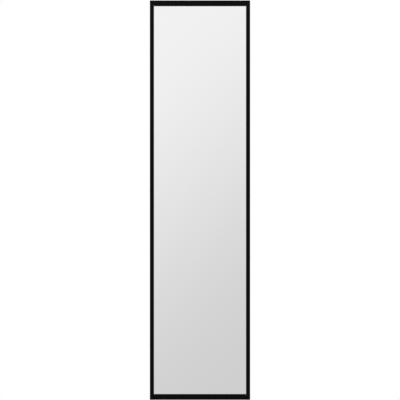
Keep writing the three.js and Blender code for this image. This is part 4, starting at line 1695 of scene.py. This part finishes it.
@dataclass
class PivotMount(FastenedAssembly):
    """Two folded brackets riveted to the slides, and the upright post bolted between them."""

    BODY = "carriage"

    rivet: Fastener = RIVET
    sheet: float = 2.5 * MM
    bend: float = 1.5 * MM
    corner: float = 0.8 * MM
    rim: float = 0.2 * MM
    rivet_hole: float = 2.3 * MM
    bore_radius: float = 2.8 * MM
    bore_depth: float = 17.5 * MM
    lead: float = 0.6 * MM
    bolt_radius: float = 2.5 * MM
    bolt_head_radius: float = 5 * MM
    bolt_head_height: float = 4 * MM
    bolt_chamfer: float = 0.7 * MM
    pin_hole: float = 2.3 * MM
    eye_radius: float = 7.3 * MM
    grub_hole: float = 2.8 * MM
    grub_socket: float = 1.4 * MM
    grub_socket_depth: float = 2.4 * MM
    axis: Point = field(default_factory=post_axis)

    def build(self) -> None:
        """Builds the brackets with their rivets and bolts, the post and what sits on it."""
        for storey in Storey:
            bracket, bolt = f"pivot_bracket_{storey.word}", f"post_bolt_{storey.word}"
            self.add(f"{bracket}_fold", self.bracket(storey), STEEL_COAT, bracket)
            self.add(f"{bolt}_hexagon", self.bolt(storey), SCREW, bolt)
        self.fasten("bracket_rivets", self.rivet, ZINC, {
            f"bracket_rivet_{storey.word}_{number}": (0, -1, 0)
            for storey in Storey for number in (1, 2)
        })
        self.add("ground_post", self.post(), BRIGHT, "pivot_post")
        self.add("stop_pin", self.pin("swivel_stop_pin"), SCREW, "swivel_stop_pin")
        self.add("steel_washer", self.ring("thrust_washer"), BRIGHT, "thrust_washer")
        low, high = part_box("collar_grub_screw")
        place, mouth = (self.axis[0], (low.z + high.z) / 2), -high.y - CUT_OVERRUN
        hole = rod(Direction.OUTWARD, place, self.grub_hole, (mouth, -self.axis[1]))
        self.add("clamped_collar", cut(self.ring("post_collar"), [hole]), CASTING, "post_collar")
        key = rod(
            Direction.OUTWARD, place, self.grub_socket, (mouth, -high.y + self.grub_socket_depth),
            HEX_SIDES)
        grub_screw = cut(self.pin("collar_grub_screw"), [key])
        self.add("grub_screw", grub_screw, SCREW, "collar_grub_screw")

    def bracket(self, storey: Storey) -> Mesh:
        """Makes one bracket: its leg flat on the slide, its round lug against the post's end.

        Args:
            storey: The slide that carries it.

        Returns:
            The closed mesh.
        """
        low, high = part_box(f"pivot_bracket_{storey.word}")
        side = storey.side
        near, far = sorted((abs(low.z), abs(high.z)))
        foot, tip = sorted((side * (near + self.sheet + self.bend), side * far))
        rivets = [middle_of(f"bracket_rivet_{storey.word}_{number}") for number in (1, 2)]
        holes = [circle((place.x, place.z), self.rivet_hole) for place in rivets]
        leg = draw_out(
            Direction.OUTWARD, rectangle((low.x, foot), (high.x, tip), self.corner),
            -high.y, -high.y + self.sheet, holes, self.rim)
        plate, lug_level = high.y - self.sheet / 2, side * (near + self.sheet / 2)
        path = [(plate, rivets[0].z), (plate, lug_level), (self.axis[1], lug_level)]
        lug_radius = high.x - self.axis[0]
        fold = draw_out(
            Direction.FORWARD, folded(path, self.sheet, (self.bend,)), high.x - 2 * lug_radius,
            high.x, rim=self.rim)
        lug = draw_out(
            Direction.UP, circle(self.axis, lug_radius), lug_level - self.sheet / 2,
            lug_level + self.sheet / 2, rim=self.rim)
        levels = (lug_level - self.sheet, lug_level + self.sheet)
        drill = rod(Direction.UP, self.axis, self.bore_radius, levels)
        return cut(joined(leg, [fold, lug]), [drill])

    def bolt(self, storey: Storey) -> Mesh:
        """Makes one bolt with a chamfered hexagon head.

        Args:
            storey: The bracket that it goes through.

        Returns:
            The closed mesh.
        """
        low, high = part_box(f"post_bolt_{storey.word}")
        side, height, radius = storey.side, self.bolt_head_height, self.bolt_head_radius
        near, far = sorted((abs(low.z), abs(high.z)))
        seat = far - height
        place = Matrix.Translation((*self.axis, side * seat)) @ Matrix.Diagonal((1, side, side, 1))
        shank = turned(place, [
            (0, near - seat, 0),
            (self.bolt_radius, near - seat, self.lead),
            (self.bolt_radius, height / 2, 0),
            (0, height / 2, 0),
        ])
        hexagon = rod(Direction.UP, self.axis, radius, (side * seat, side * far), HEX_SIDES)
        crown = turned(place, [
            (0, 0, 0),
            (radius + self.rim, 0, 0),
            (radius + self.rim, height - self.bolt_chamfer / 2, 0),
            (radius - self.bolt_chamfer, height, 0),
            (0, height, 0),
        ])
        return joined(combined(hexagon, [crown], Overlap.SHARED), [shank])

    def post(self) -> Mesh:
        """Makes the post, bored at both ends for its bolts and across for the stop pin.

        Returns:
            The closed mesh.
        """
        low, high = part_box("pivot_post")
        radius, end, bore = (high.x - low.x) / 2, high.z, self.bore_radius
        half = [
            (radius, end, self.lead),
            (bore, end, self.rim),
            (bore, end - self.bore_depth, 0),
            (0, end - self.bore_depth, 0),
        ]
        profile = [(size, -level, ease) for size, level, ease in reversed(half)] + half
        hole = middle_of("swivel_stop_pin")
        across = rod(
            Direction.OUTWARD, (hole.x, hole.z), self.pin_hole,
            (-high.y - CUT_OVERRUN, -low.y + CUT_OVERRUN))
        return cut(turned_upright(self.axis, profile), [across])

    def pin(self, node: str) -> Mesh:
        """Makes a plain pin along Y, its ends chamfered.

        Args:
            node: The pin's node.

        Returns:
            The closed mesh.
        """
        low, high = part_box(node)
        radius, length, lead = (high.x - low.x) / 2, high.y - low.y, self.lead / 2
        profile = [(0, 0, 0), (radius, 0, lead), (radius, length, lead), (0, length, 0)]
        return turned_outward(self.axis[0], high.y, (low.z + high.z) / 2, profile)

    def ring(self, node: str) -> Mesh:
        """Makes a ring round the post, its edges eased.

        Args:
            node: The ring's node.

        Returns:
            The closed mesh.
        """
        low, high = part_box(node)
        radius, ease = (high.x - low.x) / 2, self.rim
        return turned_upright(self.axis, [
            (self.eye_radius, low.z, ease), (radius, low.z, 2 * ease),
            (radius, high.z, 2 * ease), (self.eye_radius, high.z, ease),
        ])


@dataclass
class MagneticCatch(FastenedAssembly):
    """The catch at the rear of the upper slide that holds the mirror parallel."""

    BODY = "carriage"

    rivet: Fastener = replace(RIVET, shank_length=4.1 * MM)
    corner: float = 0.8 * MM
    rim: float = 0.2 * MM
    ease: float = 0.5 * MM
    gap: float = 0.3 * MM
    rivet_hole: float = 2.3 * MM
    stud_hole: float = 3.3 * MM
    stud: float = 3 * MM
    barb: float = 3.9 * MM
    barb_height: float = 1.5 * MM
    neck: float = 2.6 * MM
    base_height: float = 2 * MM
    holder_radius: float = 9 * MM
    magnet_radius: float = 6.5 * MM
    magnet_height: float = 3 * MM

    def build(self) -> None:
        """Builds the plate, its rivet, the holder and the magnet."""
        rivet, holder = middle_of("catch_rivet"), middle_of("catch_holder")
        holes = [
            circle((place.x, place.z), radius)
            for place, radius in ((rivet, self.rivet_hole), (holder, self.stud_hole))]
        plate = flat_piece("catch_plate", self.corner, self.rim, holes)
        self.add("catch_arm", plate, STEEL_COAT, "catch_plate")
        self.fasten("catch_arm_rivet", self.rivet, ZINC, {"catch_rivet": (0, -1, 0)})
        self.add("catch_holder_moulding", self.holder(), BLACK_NYLON, "catch_holder")
        low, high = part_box("catch_magnet")
        radius, height = self.magnet_radius, high.y - low.y
        disc = turned_outward(holder.x, high.y, holder.z, [
            (0, 0, 0), (radius, 0, self.rim), (radius, height, self.rim), (0, height, 0),
        ])
        self.add("catch_magnet_disc", disc, NICKEL, "catch_magnet")

    def holder(self) -> Mesh:
        """Makes the turned holder, with the snap stud that holds it in the plate.

        Returns:
            The closed mesh.
        """
        low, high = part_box("catch_holder")
        base_radius, top = (high.x - low.x) / 2, high.y - low.y
        seat = self.neck + self.barb_height
        pocket, pocket_radius = top - self.magnet_height - self.gap, self.magnet_radius + self.gap
        middle = (low + high) / 2
        return turned_outward(middle.x, high.y, middle.z, [
            (0, 0, 0),
            (self.stud, 0, self.rim),
            (self.barb, self.barb_height, self.rim),
            (self.stud, self.barb_height, 0),
            (self.stud, seat, 0),
            (base_radius, seat, self.rim),
            (base_radius, seat + self.base_height, self.ease),
            (self.holder_radius, seat + self.base_height, self.ease),
            (self.holder_radius, top, self.ease),
            (pocket_radius, top, self.rim),
            (pocket_radius, pocket, 0),
            (0, pocket, 0),
        ])


@dataclass
class SwivelHinges(FastenedAssembly):
    """Two cross straps on the back of the frame, each with a cast block and a bush."""

    BODY = "mirror_panel"
    STRAP_ENDS: ClassVar[tuple[str, ...]] = tuple(edge.word for edge in Edge)
    BLOCK_ENDS: ClassVar[tuple[str, ...]] = ("1", "2")

    strap_screw: Fastener = Fastener(
        head_radius=3.4 * MM, head_height=1.8 * MM, shank_radius=1.7 * MM, shank_length=4 * MM,
        tail_radius=1.7 * MM, tail_height=0.6 * MM, drive_radius=1.3 * MM, drive_depth=1.1 * MM)
    block_screw: Fastener = Fastener(
        head_radius=4.2 * MM, head_height=3 * MM, shank_radius=2.2 * MM, shank_length=7.8 * MM,
        tail_radius=2.2 * MM, tail_height=1 * MM, drive_radius=1.9 * MM, drive_depth=1.8 * MM)
    gap: float = 0.3 * MM
    strap_corner: float = 0.8 * MM
    rim: float = 0.2 * MM
    base: float = 5 * MM
    barrel: float = 14 * MM
    bore: float = 9.1 * MM
    fillet: float = 2.5 * MM
    cast_edge: float = 0.5 * MM
    recess_depth: float = 4.6 * MM
    recess_radius: float = 11.6 * MM
    recess_steps: int = 18
    bush_inner: float = 7.3 * MM
    bush_outer: float = 8.8 * MM
    flange: float = 1.5 * MM
    axis: Point = field(default_factory=post_axis)

    def build(self) -> None:
        """Builds the straps, the blocks, the bushes and all their screws."""
        for storey in Storey:
            strap, block, bush = (
                f"{kind}_{storey.word}" for kind in ("cross_strap", "hinge_block", "pivot_bush"))
            self.add(f"{strap}_plate", self.strap(storey), STEEL_COAT, strap)
            self.add(f"{block}_casting", self.block(storey), CASTING, block)
            self.add(f"{bush}_moulding", self.bush(bush), WHITE_NYLON, bush)
        for kind, sizes, ends in (
            ("strap", self.strap_screw, self.STRAP_ENDS),
            ("block", self.block_screw, self.BLOCK_ENDS),
        ):
            self.fasten(f"{kind}_screws", sizes, SCREW, {
                f"{kind}_screw_{storey.word}_{end}": (0, 1, 0) for storey in Storey for end in ends
            })

    def strap_holes(self, storey: Storey) -> list[Outline]:
        """Outlines of the holes for the screws of a strap."""
        return self.holes("strap", storey, self.STRAP_ENDS, self.strap_screw)

    def block_holes(self, storey: Storey) -> list[Outline]:
        """Outlines of the holes for the screws of a block."""
        return self.holes("block", storey, self.BLOCK_ENDS, self.block_screw)

    def holes(
        self, kind: str, storey: Storey, ends: Sequence[str], screw: Fastener
    ) -> list[Outline]:
        """Outlines of the clearance holes of one kind of screw.

        Args:
            kind: The word for it in the names of its nodes.
            storey: The strap that it is in.
            ends: The last words of the names of its nodes.
            screw: Its sizes.

        Returns:
            The outline of each hole.
        """
        places = [middle_of(f"{kind}_screw_{storey.word}_{end}") for end in ends]
        return [circle((place.x, place.z), screw.shank_radius + self.gap) for place in places]

    def strap(self, storey: Storey) -> Mesh:
        """One flat strap with its four holes."""
        holes = self.strap_holes(storey) + self.block_holes(storey)
        return flat_piece(f"cross_strap_{storey.word}", self.strap_corner, self.rim, holes)

    def block(self, storey: Storey) -> Mesh:
        """Makes one cast block: a barrel on a base, filleted where they meet.

        Args:
            storey: The strap that carries it.

        Returns:
            The closed mesh.
        """
        low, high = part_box(f"hinge_block_{storey.word}")
        shoulder, left = low.y + self.base, self.axis[0] - self.barrel
        ease = 2 * self.cast_edge
        side = rounded([
            (left, self.axis[1], 0),
            (left, shoulder, self.fillet),
            (low.x, shoulder, ease),
            (low.x, low.y, ease),
            (high.x, low.y, ease),
            (high.x, self.axis[1], 0),
        ])
        outline = side[:-1] + arc(self.axis, self.barrel, 0, HALF_TURN, ROUND_STEPS)[:-1]
        bore = circle(self.axis, self.bore)
        body = draw_out(Direction.UP, outline, low.z, high.z, [bore], self.cast_edge)
        depths = (-shoulder - CUT_OVERRUN, -low.y + CUT_OVERRUN)
        tools = [draw_out(Direction.OUTWARD, hole, *depths) for hole in self.block_holes(storey)]
        if storey is Storey.UPPER:
            tools.append(self.stop_recess(high.z))
        return cut(body, [merged(tools)])

    def stop_recess(self, top: float) -> Mesh:
        """Makes the tool for the quarter-turn recess in which the stop pin moves.

        Args:
            top: The height of the top of the block.

        Returns:
            The closed mesh.
        """
        pin_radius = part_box("swivel_stop_pin")[1].x - self.axis[0]
        spare = math.asin((pin_radius + self.gap) / self.bore)
        inner, outer = (
            arc(self.axis, radius, -spare, QUARTER_TURN + spare, self.recess_steps)
            for radius in (self.bush_outer, self.recess_radius))
        levels = (top - self.recess_depth, top + CUT_OVERRUN)
        return draw_out(Direction.UP, outer + inner[::-1], *levels)

    def bush(self, node: str) -> Mesh:
        """Makes one bush, its flange under the block.

        Args:
            node: The bush's node.

        Returns:
            The closed mesh.
        """
        low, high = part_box(node)
        radius = (high.x - low.x) / 2
        return turned_upright(self.axis, [
            (self.bush_inner, low.z, self.rim),
            (radius, low.z, self.rim),
            (radius, low.z + self.flange, self.rim),
            (self.bush_outer, low.z + self.flange, 0),
            (self.bush_outer, high.z, self.rim),
            (self.bush_inner, high.z, self.rim),
        ])


# Studio


@dataclass(frozen=True)
class Softbox:
    """A square light: its name, its place, the length of its sides and its power in watts."""

    name: str
    place: Triple
    size: float
    power: float

    def hang(self) -> None:
        """Hangs the light so that it faces the middle of the object."""
        data = bpy.data.lights.new(self.name, "AREA")
        data.size = self.size
        data.energy = self.power
        light = add_object(self.name, data)
        light.location = self.place
        light.rotation_euler = (-Vector(self.place)).to_track_quat("-Z", "Y").to_euler()


@dataclass
class Studio:
    """The camera of the photograph, a white surround, soft lights and a pale floor."""

    lens: float = 100.0
    sensor: float = 36.0
    picture_height: float = 1.2202
    eye_level: float = 0.0004
    bright_side: float = 0.885
    dark_side: float = 0.626
    shading_reach: float = 0.2
    shading_tilt: float = 0.85
    glass_share: float = 0.935
    ambient_share: float = 0.55
    floor_level: float = -0.95
    floor_radius: float = 1.3
    floor_tone: float = 0.8
    floor_roughness: float = 0.9
    floor_gloss: float = 0.1
    floor_fade_share: float = 0.45
    floor_steps: int = 96
    softboxes: tuple[Softbox, ...] = (
        Softbox("key_softbox", place=(-1.5, -2.3, 2.7), size=2.4, power=80),
        Softbox("fill_softbox", place=(2.3, -1.5, 2.2), size=2.6, power=38),
        Softbox("rear_softbox", place=(0.9, 2.5, 2.6), size=2.4, power=70),
    )

    def build(self) -> None:
        """Sets up everything round the object."""
        bpy.context.scene.view_settings.view_transform = "Standard"
        self.place_camera()
        self.paint_surround()
        self.lay_floor()
        for softbox in self.softboxes:
            softbox.hang()

    def place_camera(self) -> None:
        """Stands the camera straight in front, so far that the frame fills the picture."""
        data = bpy.data.cameras.new("front_camera")
        data.lens = self.lens
        data.sensor_width = self.sensor
        camera = add_object("front_camera", data)
        distance = self.picture_height * self.lens / self.sensor
        camera.location = (0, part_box("stile_front")[0].y - distance, self.eye_level)
        camera.rotation_euler = (QUARTER_TURN, 0, 0)
        bpy.context.scene.camera = camera

    def paint_surround(self) -> None:
        """Paints the surround white to the camera, and shaded in reflections.

        The shade runs from corner to corner of the mirror and swings to and fro beyond.
        """
        world = bpy.data.worlds.new("studio")
        bpy.context.scene.world = world
        world.use_nodes = True
        tree = world.node_tree
        path = add_node(tree, "ShaderNodeLightPath").outputs
        way = add_node(tree, "ShaderNodeTexCoord").outputs["Generated"]
        axes = add_node(tree, "ShaderNodeSeparateXYZ", {0: way}).outputs
        facing = reckoned(tree, "MULTIPLY", axes["Y"], -1.0, clamped=True)
        sideways = reckoned(tree, "MULTIPLY", axes["X"], facing)
        slope = reckoned(tree, "MULTIPLY_ADD", sideways, -self.shading_tilt, axes["Z"])
        raised = reckoned(tree, "ADD", slope, self.shading_reach)
        width = 2 * self.shading_reach
        swing = reckoned(tree, "PINGPONG", raised, width)
        tones = (self.dark_side / self.glass_share, self.bright_side / self.glass_share)
        shade = ranged(tree, swing, (0.0, width), tones, "SMOOTHSTEP")
        dimmed = reckoned(tree, "MULTIPLY", shade, self.ambient_share)
        scattered = mixed(tree, path["Is Diffuse Ray"], shade, dimmed)
        surround = tree.nodes["Background"]
        put_in(tree, surround, "Strength", mixed(tree, path["Is Camera Ray"], scattered, 1.0))
        put_in(tree, surround, "Color", (1, 1, 1, 1))

    def lay_floor(self) -> None:
        """Lays a round pale floor that fades into the surround at its edge."""
        rim = circle((0, 0), self.floor_radius, self.floor_steps)
        corners = [Vector((*point, self.floor_level)) for point in rim]
        floor = add_object("floor", mesh_of("floor", corners, [range(self.floor_steps)]))
        shader = Shader("pale_floor")
        flat = {0: shader.place, 1: (1 / self.floor_radius, 1 / self.floor_radius, 0)}
        place = shader.add("ShaderNodeVectorMath", flat, operation="MULTIPLY")
        share = shader.add("ShaderNodeVectorMath", {0: place.outputs[0]}, operation="LENGTH")
        shader.set(
            Base_Color=(*(self.floor_tone,) * 3, 1),
            Roughness=self.floor_roughness,
            Specular_IOR_Level=self.floor_gloss,
            Alpha=ranged(
                shader.tree, share.outputs["Value"], (self.floor_fade_share, 1.0), (1.0, 0.0),
                "SMOOTHSTEP"),
        )
        floor.data.materials.append(shader.material)
        floor.visible_glossy = False


def main() -> None:
    """Loads the frame, dresses every sub-assembly in order and sets up the studio."""
    logging.basicConfig(level=logging.INFO, format="%(name)s: %(message)s")
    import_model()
    fasteners, punches = FastenerTree(), PunchTree()
    assemblies: tuple[SubAssembly, ...] = (
        MountingStrip(punches),
        *(TelescopicSlide(storey, punches) for storey in Storey),
        PivotMount(fasteners),
        MagneticCatch(fasteners),
        SwivelHinges(fasteners),
        MirrorFrame(fasteners),
        Glazing(),
    )
    for assembly in assemblies:
        LOG.info("building %s", type(assembly).__name__)
        assembly.build()
    Studio().build()


if __name__ == "__main__":
    main()
